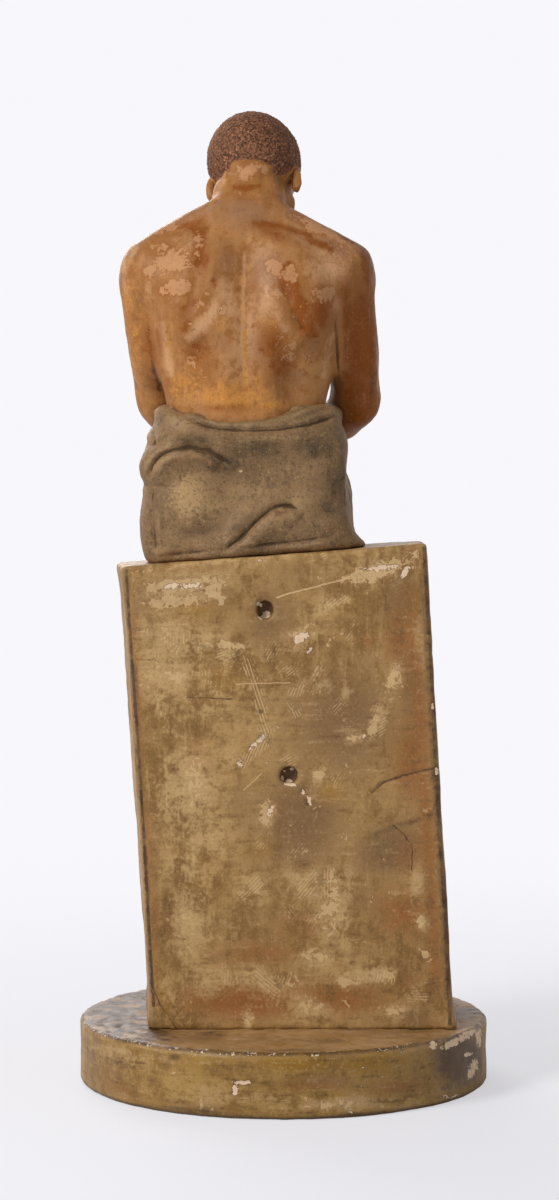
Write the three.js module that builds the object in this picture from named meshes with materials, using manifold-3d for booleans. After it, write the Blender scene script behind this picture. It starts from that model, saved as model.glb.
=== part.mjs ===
// A seated man, bare to the waist, with a cloth round his hips, on a tall hollow block with a foot rest and an
// oval plinth. It is painted earthenware, pressed in sections that meet at luted seams. The figure is about a
// third of life size. Millimetres, +Z up, the man faces -Y, and the origin is the middle of the underside.
import * as THREE from "three";
import { mergeVertices } from "three/addons/utils/BufferGeometryUtils.js";
import Module from "manifold-3d";

const wasm = await Module();
wasm.setup();

// Driving dimensions
const seam = 0.3; // gap between two sections
const plinth = { halfWidth: 137, halfDepth: 148, height: 42.5, wall: 15, topPlate: 13, edge: 3, passage: 44 };
const block = {
  back: 62,
  front: -62,
  wall: 13,
  edge: 2.5,
  // Corners of the back face as [x, z]; the block leans a little to the man's left.
  footRight: [-111.8, plinth.height + seam],
  footLeft: [88.7, plinth.height + seam],
  headLeft: [106, 344.7],
  headRight: [-93, 360.3],
  spreadLeft: 9, // how much further out the front face reaches on each side
  spreadRight: 2,
};
const vents = [
  { x: 12, z: 317, halfWidth: 5.1, halfHeight: 5.9 },
  { x: -3.6, z: 209, halfWidth: 5.9, halfHeight: 5.5 },
];
const footRest = { left: 84, right: -44, front: -140, top: 204, wall: 14, setBack: 4 };
const blockSlope = (block.headLeft[1] - block.headRight[1]) / (block.headLeft[0] - block.headRight[0]);
const blockTopAt = (x) => block.headRight[1] + (x - block.headRight[0]) * blockSlope;
const seat = { x: 24, z: blockTopAt(24) }; // where the man's own axis meets the top of the block
// Heights and depths below are from the seat, in the man's own frame.
const armSeam = 170; // the arms join the shoulders here
const torsoFoot = 58; // the torso stands inside the cloth down to here
const lapSeam = -24; // y where the cloth round the hips meets the cloth over the thighs
const fallSeam = 6; // the lap meets the hanging cloth here
const hem = -88;
const hemDepth = 15; // how far the hanging cloth is open from below
const ankle = -119;

const point = (x, y, z) => new THREE.Vector3(x, y, z);
const rad = THREE.MathUtils.degToRad;
const lerp = THREE.MathUtils.lerp;

// Clay masses. Each gives the distance from a point to its skin, negative inside.
function ball([cx, cy, cz], radii, turn = [0, 0, 0]) {
  const [rx, ry, rz] = typeof radii === "number" ? [radii, radii, radii] : radii;
  const euler = new THREE.Euler(rad(turn[0]), rad(turn[1]), rad(turn[2]));
  const back = new THREE.Matrix3().setFromMatrix4(new THREE.Matrix4().makeRotationFromEuler(euler)).transpose();
  const q = point(0, 0, 0);
  return (p) => {
    q.set(p.x - cx, p.y - cy, p.z - cz).applyMatrix3(back);
    const near = Math.hypot(q.x / rx, q.y / ry, q.z / rz);
    const slope = Math.hypot(q.x / rx ** 2, q.y / ry ** 2, q.z / rz ** 2);
    return slope < 1e-9 ? -Math.min(rx, ry, rz) : (near * (near - 1)) / slope;
  };
}

function limb([ax, ay, az], [bx, by, bz], fromRadius, toRadius) {
  const [dx, dy, dz] = [bx - ax, by - ay, bz - az];
  const lengthSquared = dx * dx + dy * dy + dz * dz;
  return (p) => {
    const [px, py, pz] = [p.x - ax, p.y - ay, p.z - az];
    const t = Math.min(1, Math.max(0, (px * dx + py * dy + pz * dz) / lengthSquared));
    return Math.hypot(px - t * dx, py - t * dy, pz - t * dz) - lerp(fromRadius, toRadius, t);
  };
}

function slab([cx, cy, cz], [hx, hy, hz], round) {
  return (p) => {
    const x = Math.abs(p.x - cx) - hx + round;
    const y = Math.abs(p.y - cy) - hy + round;
    const z = Math.abs(p.z - cz) - hz + round;
    return Math.hypot(Math.max(x, 0), Math.max(y, 0), Math.max(z, 0)) + Math.min(0, Math.max(x, y, z)) - round;
  };
}

// A rope of limbs through [x, y, z, radius] points
const rope = (points) =>
  points.slice(1).map((to, i) => limb(points[i].slice(0, 3), to.slice(0, 3), points[i][3], to[3]));

// The same masses on both sides of the man's own middle plane
const mirrored = (make) => [make(1), make(-1)];

function join(a, b, blend) {
  const h = Math.max(blend - Math.abs(a - b), 0) / blend;
  return Math.min(a, b) - (h * h * blend) / 4;
}

// Masses run together like clay, then others pressed into them
const clay = (blend, added, pressed = [], pressBlend = blend) => (p) => {
  let d = Infinity;
  for (const mass of added) d = join(d, mass(p), blend);
  for (const mass of pressed) d = -join(-d, mass(p), pressBlend);
  return d;
};

// Distance from a point inside the clay to its skin, along one direction, and no further than a limit
function reach(body, from, along, grow, limit) {
  const p = point(0, 0, 0);
  const depth = (t) => body(p.copy(from).addScaledVector(along, t)) - grow;
  let [inside, outside] = [0, 0];
  while (depth(outside) < 0) {
    inside = outside;
    outside += 1.5;
    if (outside > limit) return limit;
  }
  for (let i = 0; i < 14; i++) {
    const middle = (inside + outside) / 2;
    if (depth(middle) < 0) inside = middle;
    else outside = middle;
  }
  return inside;
}

// A closed skin round the clay. Rings of rays leave the spine, and fan out to a pole at each end.
// crowd draws the columns together towards the first one, which points along aim.
function skin(body, spinePoints, options) {
  const { rings, columns, fan, aim = [1, 0, 0], grow = 0, crowd = 0, limit = 400 } = options;
  const points = spinePoints.map((p) => point(...p));
  const spine = new THREE.CatmullRomCurve3(points, false, "centripetal");
  const rows = [];
  for (let i = 0; i < fan; i++) rows.push({ t: 0, tilt: (i / fan - 1) * (Math.PI / 2) });
  for (let i = 0; i <= rings; i++) rows.push({ t: rings ? i / rings : 0, tilt: 0 });
  for (let i = 1; i <= fan; i++) rows.push({ t: 1, tilt: (i / fan) * (Math.PI / 2) });
  const positions = [];
  const along = point(0, 0, 0);
  rows.forEach(({ t, tilt }, row) => {
    const from = spine.getPoint(t);
    const tangent = spine.getTangent(t);
    const first = point(...aim).addScaledVector(tangent, -point(...aim).dot(tangent)).normalize();
    const second = tangent.clone().cross(first);
    const isPole = row === 0 || row === rows.length - 1;
    for (let i = 0; i < (isPole ? 1 : columns); i++) {
      const turn = (i / columns) * 2 * Math.PI;
      const angle = turn - crowd * Math.sin(turn);
      along
        .copy(first)
        .multiplyScalar(Math.cos(angle) * Math.cos(tilt))
        .addScaledVector(second, Math.sin(angle) * Math.cos(tilt))
        .addScaledVector(tangent, Math.sin(tilt))
        .normalize();
      const p = from.clone().addScaledVector(along, reach(body, from, along, grow, limit));
      positions.push(p.x, p.y, p.z);
    }
  });
  // Each quad is split along the diagonal that lies closer to the clay.
  const vertex = (i) => point(...positions.slice(3 * i, 3 * i + 3));
  const offSkin = (i, j) => Math.abs(body(vertex(i).lerp(vertex(j), 0.5)) - grow);
  const index = [];
  const last = positions.length / 3 - 1;
  const at = (ring, i) => 1 + ring * columns + (i % columns);
  const ringCount = rows.length - 2;
  for (let i = 0; i < columns; i++) {
    index.push(0, at(0, i + 1), at(0, i));
    index.push(at(ringCount - 1, i), at(ringCount - 1, i + 1), last);
    for (let ring = 0; ring < ringCount - 1; ring++) {
      const [a, b, c, d] = [at(ring, i), at(ring, i + 1), at(ring + 1, i + 1), at(ring + 1, i)];
      if (offSkin(a, c) < offSkin(b, d)) index.push(a, b, c, a, c, d);
      else index.push(a, b, d, b, c, d);
    }
  }
  const geometry = new THREE.BufferGeometry();
  geometry.setAttribute("position", new THREE.Float32BufferAttribute(positions, 3));
  return geometry.setIndex(index);
}

// three.js geometry to a solid and back
function solid(geometry) {
  const bare = geometry.clone();
  for (const name of ["normal", "uv"]) bare.deleteAttribute(name);
  const merged = mergeVertices(bare, 1e-4);
  return new wasm.Manifold(
    new wasm.Mesh({
      numProp: 3,
      vertProperties: Float32Array.from(merged.attributes.position.array),
      triVerts: Uint32Array.from(merged.index.array),
    }),
  );
}

function geometryOf(made) {
  const { vertProperties, triVerts } = made.getMesh();
  const geometry = new THREE.BufferGeometry();
  geometry.setAttribute("position", new THREE.BufferAttribute(vertProperties, 3));
  geometry.setIndex(new THREE.BufferAttribute(triVerts, 1));
  geometry.computeVertexNormals();
  return geometry;
}

// The largest body, without the crumbs a cut can leave
const main = (made) => made.decompose().sort((a, b) => b.volume() - a.volume())[0];

// A box from its lowest and highest corners, turned by degrees about +Y round its own middle
function box(low, high, lean = 0) {
  const size = low.map((v, i) => high[i] - v);
  const geometry = new THREE.BoxGeometry(...size);
  geometry.rotateY(rad(lean));
  geometry.translate(...low.map((v, i) => (v + high[i]) / 2));
  return solid(geometry);
}

// Surfaces of the oval plinth: one turned profile, drawn out front to back
function makePlinth() {
  const { halfWidth: r, height: h, wall, topPlate, edge, passage } = plinth;
  const ceiling = h - topPlate;
  const profile = [
    [passage, ceiling],
    [r - wall, ceiling],
    [r - wall + 1, 0],
    [r - 2, 0],
    [r - 0.2, 2],
    [r - 0.8, h * 0.55],
    [r - 0.2, h - edge],
    [r - edge, h],
    [passage, h],
    [passage, ceiling],
  ].map(([x, z]) => new THREE.Vector2(x, z));
  const geometry = new THREE.LatheGeometry(profile, 48);
  geometry.rotateX(Math.PI / 2);
  geometry.scale(1, plinth.halfDepth / plinth.halfWidth, 1);
  const footVent = new THREE.CylinderGeometry(13, 13, 60, 20).rotateX(Math.PI / 2).translate(20, -96, h);
  return solid(geometry).subtract(solid(footVent));
}

// An upright outline with rounded corners in X and Z, drawn forward from one Y to another
function upright(corners, back, front, edge) {
  const shape = new THREE.Shape();
  const at = (i) => new THREE.Vector2(...corners[(i + corners.length) % corners.length]);
  corners.forEach((corner, i) => {
    const here = at(i);
    const before = at(i - 1).sub(here).setLength(edge).add(here);
    const after = at(i + 1).sub(here).setLength(edge).add(here);
    if (i) shape.lineTo(before.x, before.y);
    else shape.moveTo(before.x, before.y);
    shape.quadraticCurveTo(here.x, here.y, after.x, after.y);
  });
  shape.closePath();
  const depth = back - front - 2 * edge;
  const settings = { depth, curveSegments: 2, bevelSegments: 2, bevelSize: edge, bevelThickness: edge };
  const geometry = new THREE.ExtrudeGeometry(shape, { ...settings, bevelOffset: -edge });
  return geometry.rotateX(Math.PI / 2).translate(0, back - edge, 0);
}

// The front of the block is wider than its back.
function spread(geometry) {
  const place = geometry.attributes.position;
  const width = block.footLeft[0] - block.footRight[0];
  for (let i = 0; i < place.count; i++) {
    const forward = (block.back - place.getY(i)) / (block.back - block.front);
    const across = (place.getX(i) - block.footRight[0]) / width;
    place.setX(i, place.getX(i) + forward * lerp(-block.spreadRight, block.spreadLeft, across));
  }
  return geometry;
}

const blockCorners = [block.footRight, block.footLeft, block.headLeft, block.headRight];

// Flat hewn faces on a rock: each takes off what lies beyond a plane through a point
function hew(rock, faces, inset = 0) {
  const size = 400;
  return faces.reduce((left, { through, facing }) => {
    const outward = point(...facing).normalize();
    const cutter = new THREE.BoxGeometry(size, size, size).translate(0, 0, size / 2 - inset);
    cutter.applyQuaternion(new THREE.Quaternion().setFromUnitVectors(point(0, 0, 1), outward));
    return left.subtract(solid(cutter.translate(...through)));
  }, rock);
}

// The front of the block is roughly hewn; its back and sides are struck flat.
const blockFaces = [
  { through: [100, block.front, 120], facing: [1, -0.9, -0.03] },
  { through: [108, block.front, 290], facing: [1, -1.3, -0.09] },
  { through: [-106, block.front, 150], facing: [-1, -0.8, 0.03] },
  { through: [-97, block.front, 290], facing: [-1, -1.4, 0.1] },
  { through: [60, block.front + 1, 60], facing: [0.12, -1, -0.04] },
  { through: [-60, block.front + 1, 330], facing: [-0.1, -1, 0.05] },
  { through: [100, block.front, blockTopAt(100) - 3], facing: [0.2, -0.8, 1.1] },
  { through: [-84, block.front, blockTopAt(-84) - 2], facing: [-0.5, -0.8, 1.1] },
];

const blockOutside = () =>
  hew(solid(spread(upright(blockCorners, block.back, block.front, block.edge))), blockFaces);

function makeBlock() {
  const { wall } = block;
  const hollowCorners = [
    [block.footRight[0] + wall, block.footRight[1] - 20],
    [block.footLeft[0] - wall, block.footLeft[1] - 20],
    [block.headLeft[0] - wall, block.headLeft[1] - wall],
    [block.headRight[0] + wall, block.headRight[1] - wall],
  ];
  const hollow = solid(spread(upright(hollowCorners, block.back - wall, block.front + wall, 6)));
  const shell = blockOutside().subtract(hew(hollow, blockFaces, wall));
  return vents.reduce((left, vent) => {
    const hole = new THREE.CylinderGeometry(1, 1, 3 * wall, 20);
    hole.scale(vent.halfWidth, 1, vent.halfHeight).translate(vent.x, block.back, vent.z);
    return left.subtract(solid(hole));
  }, shell);
}

const restFaces = [
  { through: [footRest.left, -100, footRest.top - 20], facing: [1, -0.35, 0.55] },
  { through: [footRest.left, -100, 96], facing: [1, -0.3, -0.12] },
  { through: [footRest.right, -100, footRest.top - 14], facing: [-1, -0.3, 0.5] },
  { through: [footRest.right, -110, 110], facing: [-1, -0.6, -0.15] },
  { through: [60, -126, 150], facing: [0.6, -1, 0.22] },
  { through: [-20, -135, 140], facing: [-0.55, -1, 0.1] },
  { through: [22, footRest.front + 2, 100], facing: [0.1, -1, -0.16] },
  { through: [30, footRest.front, footRest.top - 6], facing: [0.06, -0.8, 0.7] },
];

function makeFootRest() {
  const { left, right, front, top, wall, setBack } = footRest;
  const back = block.front - seam;
  const bottom = plinth.height + seam;
  const oval = new THREE.Shape();
  oval.absellipse(0, 0, plinth.halfWidth - setBack, plinth.halfDepth - setBack, 0, 2 * Math.PI);
  const pillar = new THREE.ExtrudeGeometry(oval, { depth: 300, bevelEnabled: false, curveSegments: 24 });
  const rock = box([right, front, bottom], [left, back, top]).intersect(solid(pillar));
  const hollow = box([right + wall, front + wall, bottom - 9], [left - wall, back + 9, top - wall]);
  return hew(rock, restFaces).subtract(hew(hollow, restFaces, wall));
}

// The man's torso: x is to his left, y to his back, z up from the seat.
const torsoMasses = [
  ball([0, 14, 72], [48, 35, 50]),
  ball([0, 10, 146], [57, 41, 62]),
  ...mirrored((s) => limb([1 + s * 33, 24, 86], [1 + s * 48, 20, 162], 15.5, 16.5)),
  ...mirrored((s) => limb([0, 15, 203], [s * 54, 12, 193], 19, 16)),
  ...mirrored((s) => limb([s * 10, 11, 229 + s], [s * 50, 14, 209 + 1.5 * s], 11.5, 10)),
  ...mirrored((s) => ball([s * 33, 40, 175], [20, 12, 35], [10, s * -16, s * -12])),
  ...mirrored((s) => limb([s * 12, 36, 66], [s * 13, 45, 150], 12, 9)),
  ...mirrored((s) => ball([s * 25, -18, 172], [27, 13, 20], [-8, s * 6, 0])),
  ...mirrored((s) => limb([s * 9, -10, 205], [s * 50, -2, 207], 5, 5)),
  ball([0, -15, 102], [38, 19, 50]),
];
const shoulderMasses = [
  ...mirrored((s) => limb([s * 38, 30, 166], [s * 62, 14, 178], 12, 13)),
  ...mirrored((s) => ball([s * 64, 11, 189], [19.8, 23, 25])),
  ...mirrored((s) => limb([s * 63, 8, 180], [s * 64, 5, 158], 17, 16.5)),
];
const torsoGrooves = [limb([0, 60, 76], [0, 62, 190], 6, 5), limb([0, -38, 92], [0, -41, 176], 4, 4)];
const torsoSpine = [
  [0, 12, 72],
  [0, 12, 130],
  [0, 12, 203],
];
const torsoSkin = (masses, grow) =>
  solid(skin(clay(13, masses, torsoGrooves, 8), torsoSpine, { rings: 15, columns: 38, fan: 4, grow }));

// The cloth, laid over hips and thighs and hanging in front of the shins
const waistRoll = [
  [15, 50, 82.5, 3.5],
  [-2, 51, 82.5, 4],
  [-18, 49, 84, 5],
  [-33, 44, 88.5, 6.5],
  [-50, 31, 98, 8],
  [-54, 2, 97, 8],
  [-42, -24, 88, 8],
  [0, -34, 80, 9],
  [42, -24, 90, 8],
  [54, 4, 98, 7],
  [54, 30, 101, 6],
  [47, 40, 95, 4.5],
  [38, 46, 87, 3.5],
  [15, 50, 82.5, 3.5],
];
const foldUnderWaist = [
  [61, 34, 50, 7],
  [56, 46, 60, 8],
  [44, 49, 66, 8],
  [20, 49, 62, 7],
  [2, 49, 55, 5],
];
const foldRising = [
  [26, 48, -4, 9],
  [8, 50, 8, 9],
  [-8, 51, 22, 9],
  [-24, 51, 29, 9],
  [-44, 49, 26, 8],
];
const clothMasses = [
  slab([0.5, 16, 22], [65, 37.5, 63], 14),
  ...mirrored((s) => ball([s * 39, 22, 76], [25, 27, 18])),
  ...mirrored((s) => ball([s * 52, 14, 18], [17.5, 34, 28])),
  ball([0, 12, 84], [49, 34, 33]), // the waist inside the cloth, cut away again below
  ...mirrored((s) => limb([s * 35, 0, 33], [s * 38, -110, 30], 30, 25)),
  slab([0, -52, 18], [44, 70, 20], 8),
  ...rope(waistRoll),
  ...rope(foldUnderWaist),
  ...rope(foldRising),
  ball([-38, 46, 10], [30, 11, 18]),
  ball([36, 44, 30], [24, 14, 24]),
  ball([-70, 34, 3], [12, 14, 8]), // a corner of the cloth lies on the block
  // folds over the lap, from the hips towards the knees
  ...mirrored((s) => limb([s * 62, -6, 44], [s * 50, -104, 46], 6, 5)),
  limb([14, -34, 60], [28, -112, 50], 6, 5),
  limb([-12, -36, 58], [-30, -114, 50], 6, 5),
  // the hanging part, gathered round each shin
  ...mirrored((s) => limb([s * 38, -110, 28], [s * 30, -92, -100], 24, 21)),
  slab([0, -90, -40], [30, 17, 66], 10),
];
const lapClay = clay(11, clothMasses, [limb([0, -132, 40], [0, -150, -40], 9, 6)], 9);

// Pleats deepen as the cloth hangs down. The waves run round the upright middle of the hanging part.
const pleats = { count: 9, depth: 2.8, sway: 0.9, middle: -94 };
function fallClay(p) {
  const hanging = THREE.MathUtils.smoothstep(fallSeam - p.z, 0, 70);
  const angle = Math.atan2(p.x, pleats.middle - p.y);
  const wave = Math.cos(pleats.count * angle + pleats.sway * Math.sin(3 * angle + p.z / 40));
  return lapClay(p) - hanging * pleats.depth * wave;
}

// Arms: deltoid, upper arm and forearm down to the wrist
const armMasses = {
  left: [
    limb([62, 8, 180], [61, -18, 110], 17, 15),
    ball([64, 3, 138], [14.5, 15, 28], [-14, 0, 0]),
    ball([60, -16, 140], [13, 11, 24], [-14, 0, 0]),
    ball([57, -17, 100], [13, 14, 13]),
    limb([57.5, -20, 100], [24, -84, 69], 13.5, 8.5),
    ball([51, -36, 92], [13, 16, 12]),
  ],
  right: [
    limb([-64, 8, 180], [-73, -10, 110], 17, 15.5),
    ball([-71, 3, 134], [15, 15, 28], [-10, 0, 0]),
    ball([-68, -12, 138], [13, 11, 24], [-10, 0, 0]),
    ball([-73, -8, 100], [14, 14.5, 13.5]),
    limb([-72, -12, 101], [-20, -84, 62], 13, 8.5),
    ball([-63, -30, 90], [14, 16, 13]),
  ],
};
const armSpines = {
  left: [
    [64, 9, 186],
    [62, 4, 150],
    [59, -14, 112],
    [52, -34, 93],
    [24, -84, 69],
  ],
  right: [
    [-65, 9, 186],
    [-68, 2, 150],
    [-71, -7, 112],
    [-63, -27, 92],
    [-20, -84, 62],
  ],
};
function armSkin(side, grow) {
  const arm = clay(9, [...shoulderMasses, ...armMasses[side]]);
  const flank = clay(13, torsoMasses);
  // The armpit is filled; lower down the arm only touches the flank.
  const together = (p) => join(arm(p), flank(p), 1.5 + 6 * THREE.MathUtils.smoothstep(p.z, 145, armSeam));
  return solid(skin(together, armSpines[side], { rings: 17, columns: 14, fan: 2, grow, limit: 34 }));
}

// Hands: x across the palm, y from the wrist to the fingertips, z out of the back of the hand
const fingers = [
  { across: 9.4, length: 24, root: 27 },
  { across: 3.2, length: 28, root: 28.5 },
  { across: -3.2, length: 26, root: 28 },
  { across: -9.2, length: 20, root: 25 },
];

// One finger, toe or thumb through [x, y, z, radius] points
function digit(points) {
  const spine = points.map((p) => p.slice(0, 3));
  return solid(skin(clay(2, rope(points)), spine, { rings: 2, columns: 6, fan: 2 }));
}

function makeHand(thumbSide) {
  const palmClay = clay(6, [
    limb([0, -4, 0], [0, 8, 0], 7, 7.5),
    slab([0, 19, 0], [13, 15, 5.2], 5),
    ball([thumbSide * 10, 12, -3], [7, 11, 5.5]),
    ball([-thumbSide * 9, 14, -3], [6, 12, 5]),
  ]);
  const palmSpine = [
    [0, 0, 0],
    [0, 26, 0],
  ];
  const palm = solid(skin(palmClay, palmSpine, { rings: 3, columns: 12, fan: 2 }));
  const digits = fingers.map(({ across, length, root }) => {
    const x = thumbSide * across;
    return [
      [x, root, 0.6, 4.1],
      [x * 0.9, root + length * 0.5, -1, 3.7],
      [x * 0.82, root + length, -5.5, 3],
    ];
  });
  digits.push([
    [thumbSide * 11, 10, -3, 5],
    [thumbSide * 17, 23, -4.5, 4.2],
    [thumbSide * 14.5, 36, -6, 3.4],
  ]);
  return digits.reduce((hand, points) => hand.add(digit(points)), palm);
}

// Head: x to his left, y to the back, z up, from the middle of the cranium
const headPose = new THREE.Matrix4()
  .makeRotationFromEuler(new THREE.Euler(rad(28), rad(6.7), rad(-8), "ZYX"))
  .setPosition(-4.8, -27, 261.5);

// A flat limit to a mass, which keeps what lies behind it
const behind = (through, facing) => {
  const from = point(...through);
  const outward = point(...facing).normalize();
  return (p) => (p.x - from.x) * outward.x + (p.y - from.y) * outward.y + (p.z - from.z) * outward.z;
};
const hair = [
  ball([0, 4, 2], [30.4, 36.5, 30.5]),
  behind([0, -27, 15], [0, -1, -0.5]),
  behind([0, 4, -15], [0, 0.15, -1]),
];
const hairMass = (p) => Math.max(...hair.map((mass) => mass(p)));
const headClay = clay(
  4,
  [
    ball([0, 2, 1], [29, 36, 30]),
    ball([0, 17, -4], [25, 20, 24]),
    ball([0, -18, 4], [24, 17.5, 20]),
    ball([0, -15, -24], [20.5, 19, 28]),
    ...mirrored((s) => limb([s * 20, -5, -27], [s * 8, -24, -46], 6.5, 6.5)),
    ball([0, -28, -47], [8, 7, 6]),
    ...mirrored((s) => ball([s * 16, -26.5, -18], [7, 6, 6])),
    limb([-12, -33, -6], [12, -33, -6], 4, 4),
    limb([0, -33.5, -10], [0, -41, -24.5], 2.8, 3.6),
    ...mirrored((s) => ball([s * 4, -38, -26], 3)),
    limb([-7, -34, -34.5], [7, -34, -34.5], 2.6, 2.6),
    limb([-6, -33.5, -39], [6, -33.5, -39], 2.9, 2.9),
    hairMass,
  ],
  mirrored((s) => ball([s * 10.5, -39.5, -11.5], [7, 6.5, 5])),
  3,
);
const earClay = clay(2.5, [ball([0, 0, 0], [2.8, 6.2, 9.5], [-12, 0, 0])], [ball([4, -1, 0.5], [4.2, 3.6, 6])], 2);

function makeEar(s) {
  const spine = [
    [-1.4, 1.5, -5],
    [-1.4, 1.5, 5],
  ];
  const ear = skin(earClay, spine, { rings: 3, columns: 8, fan: 2 });
  if (s < 0) ear.scale(-1, 1, 1).setIndex([...ear.index.array].reverse());
  return ear.rotateZ(s * rad(-26)).translate(s * 28.5, 5, -19);
}

function makeHead(torsoAround) {
  const spine = [
    [0, -4, -9],
    [0, -4, 3],
  ];
  const skull = skin(headClay, spine, { rings: 4, columns: 36, fan: 11, aim: [0, -1, 0], crowd: 0.35 });
  const neckClay = clay(8, [
    limb([-3, -12, 246], [0, 5, 208], 20, 22),
    ...mirrored((s) => limb([s * 8, -3, 244], [s * 14, 8, 214], 14, 15)),
  ]);
  const neckSpine = [
    [-2, -8, 242],
    [0, 5, 206],
  ];
  const neck = solid(skin(neckClay, neckSpine, { rings: 4, columns: 16, fan: 2 }));
  const ears = mirrored((s) => solid(makeEar(s).applyMatrix4(headPose)));
  const head = ears.reduce((joined, ear) => joined.add(ear), solid(skull.applyMatrix4(headPose)).add(neck));
  return head.subtract(torsoAround);
}

// Legs below the cloth
function shinSkin(s, grow) {
  const masses = [
    limb([s * 33, -99, -40], [s * 25, -84, -112], 15, 9.5),
    ball([s * 30, -88, -72], [12, 12, 26]),
    ball([s * 25, -82, -124], 11),
  ];
  const spine = [
    [s * 31, -94, -56],
    [s * 25, -83, -122],
  ];
  return solid(skin(clay(6, masses), spine, { rings: 6, columns: 14, fan: 2, grow }));
}

const sole = footRest.top - seat.z;
const toes = [
  { across: -9.5, length: 15, radius: 4.6 },
  { across: -2.6, length: 15, radius: 3.4 },
  { across: 2.8, length: 13, radius: 3.2 },
  { across: 7.6, length: 10.5, radius: 3 },
  { across: 11.6, length: 7.5, radius: 2.9 },
];

function makeFoot(s) {
  const heel = s * 25;
  const ballOfFoot = s * 30;
  const footClay = clay(7, [
    ball([heel, -75, sole + 10], [10, 11, 11]),
    ball([heel, -83, sole + 25], [10, 11, 13]),
    limb([heel, -84, sole + 18], [lerp(heel, ballOfFoot, 0.7), -114, sole + 7], 11, 7.5),
    ball([ballOfFoot, -117, sole + 6], [14, 12, 6.5]),
  ]);
  const spine = [
    [heel, -78, sole + 9],
    [ballOfFoot, -118, sole + 5],
  ];
  const foot = solid(skin(footClay, spine, { rings: 4, columns: 12, fan: 2 }));
  return toes.reduce((joined, { across, length, radius }) => {
    const x = ballOfFoot + s * across;
    return joined.add(
      digit([
        [x, -119, sole + radius + 1.5, radius],
        [x + s * 0.4, -119 - length * 0.6, sole + radius + 1, radius],
        [x + s * 0.6, -119 - length, sole + radius, radius * 0.92],
      ]),
    );
  }, foot);
}

// Cutting tools, in the man's own frame
const wide = 300;
const above = (z) => box([-wide, -wide, z], [wide, wide, z + wide]);
const below = (z) => box([-wide, -wide, z - wide], [wide, wide, z]);
const inFront = (y) => box([-wide, y - wide, -wide], [wide, y, wide]);
const atBack = (y) => box([-wide, y, -wide], [wide, y + wide, wide]);
const seatPlane = new THREE.BoxGeometry(2 * wide, wide, wide)
  .translate(0, block.front + wide / 2 - seam, seam - wide / 2)
  .rotateY(-Math.atan(blockSlope));
const seatCutter = solid(seatPlane).add(blockOutside().translate([-seat.x, -seam, seam - seat.z]));

// Torso: one section, its shoulders cut off square where the arms begin
const allTorso = [...torsoMasses, ...shoulderMasses];
const flankAround = torsoSkin(torsoMasses, seam);
const chestAround = torsoSkin(allTorso, seam);
const torso = torsoSkin(allTorso, 0)
  .subtract(below(armSeam))
  .add(torsoSkin(torsoMasses, 0).subtract(above(armSeam + 2)))
  .subtract(below(torsoFoot));

// Cloth: round the hips, over the lap, and hanging
const hipSpine = [
  [0, 10, -12],
  [0, 10, 97],
];
const thighSpine = (s) => [
  [s * 34, -14, 28],
  [s * 38, -108, 28],
];
const fallSpine = [
  [0, pleats.middle, 20],
  [0, pleats.middle, -92],
];
const hipSkin = (grow) => solid(skin(lapClay, hipSpine, { rings: 20, columns: 46, fan: 2, aim: [0, 1, 0], crowd: 0.3, grow }));
const lapSkin = (grow) =>
  mirrored((s) => {
    const thigh = solid(skin(lapClay, thighSpine(s), { rings: 8, columns: 26, fan: 4, aim: [0, 0, 1], grow, limit: 60 }));
    return thigh.subtract(box([s < 0 ? 1 : -wide, -wide, -wide], [s < 0 ? wide : -1, wide, wide]));
  }).reduce((left, right) => left.add(right));
const fallSkin = (grow) => {
  const detail = { rings: 7, columns: 46, fan: 2, aim: [0, -1, 0], crowd: 0.15 };
  return solid(skin(fallClay, fallSpine, { ...detail, grow }));
};
const hipsAround = hipSkin(seam).subtract(inFront(lapSeam - 1));
const lapAround = lapSkin(seam).subtract(atBack(lapSeam + 1));
const drapeHips = hipSkin(0).subtract(torsoAroundIn(flankAround)).subtract(seatCutter).subtract(inFront(lapSeam));
const drapeLap = lapSkin(0)
  .subtract(torsoAroundIn(flankAround))
  .subtract(seatCutter)
  .subtract(atBack(lapSeam - seam))
  .subtract(below(fallSeam).subtract(atBack(block.front)));
const shinTop = hem + 2 * hemDepth;
const drapeFall = mirrored((s) => shinSkin(s, seam))
  .reduce((cloth, leg) => cloth.subtract(leg.subtract(above(shinTop))), fallSkin(0))
  .subtract(fallSkin(-5).subtract(above(hem + hemDepth)))
  .subtract(above(fallSeam - seam))
  .subtract(below(hem))
  .subtract(atBack(block.front - 2 * seam));

// The cloth keeps clear of the torso, and of the hollow above the waist that the torso leaves in it
function torsoAroundIn(around) {
  return around.subtract(below(torsoFoot - seam));
}

const arms = Object.fromEntries(
  ["left", "right"].map((side) => [
    side,
    [flankAround, hipsAround, lapAround].reduce(
      (arm, around) => arm.subtract(around),
      armSkin(side, 0).subtract(above(armSeam - seam)),
    ),
  ]),
);

// A hand in place: turned to its direction, then tipped and set at the wrist
function placeHand(hand, { wrist, heading, dip, roll }) {
  const pose = new THREE.Matrix4()
    .makeRotationFromEuler(new THREE.Euler(rad(-dip), rad(roll), rad(heading), "ZXY"))
    .setPosition(...wrist);
  return hand.transform([...pose.elements]);
}
const rightPlace = { wrist: [-15, -88, 58], heading: 216, dip: 16, roll: 4 };
const leftPlace = { wrist: [19, -90, 66], heading: 143, dip: 12, roll: -4 };
const rightHand = placeHand(makeHand(1), rightPlace).subtract(armSkin("right", seam)).subtract(lapAround);
const leftHand = placeHand(makeHand(-1), leftPlace)
  .subtract(armSkin("left", seam))
  .subtract(lapAround)
  .subtract(placeHand(makeHand(1).scale([1.03, 1.03, 1.1]), rightPlace));

const shins = mirrored((s) => shinSkin(s, 0).subtract(above(shinTop - seam)).subtract(below(ankle + seam)));
const feet = mirrored((s) => makeFoot(s).subtract(above(ankle)).subtract(below(sole + seam)));

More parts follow.
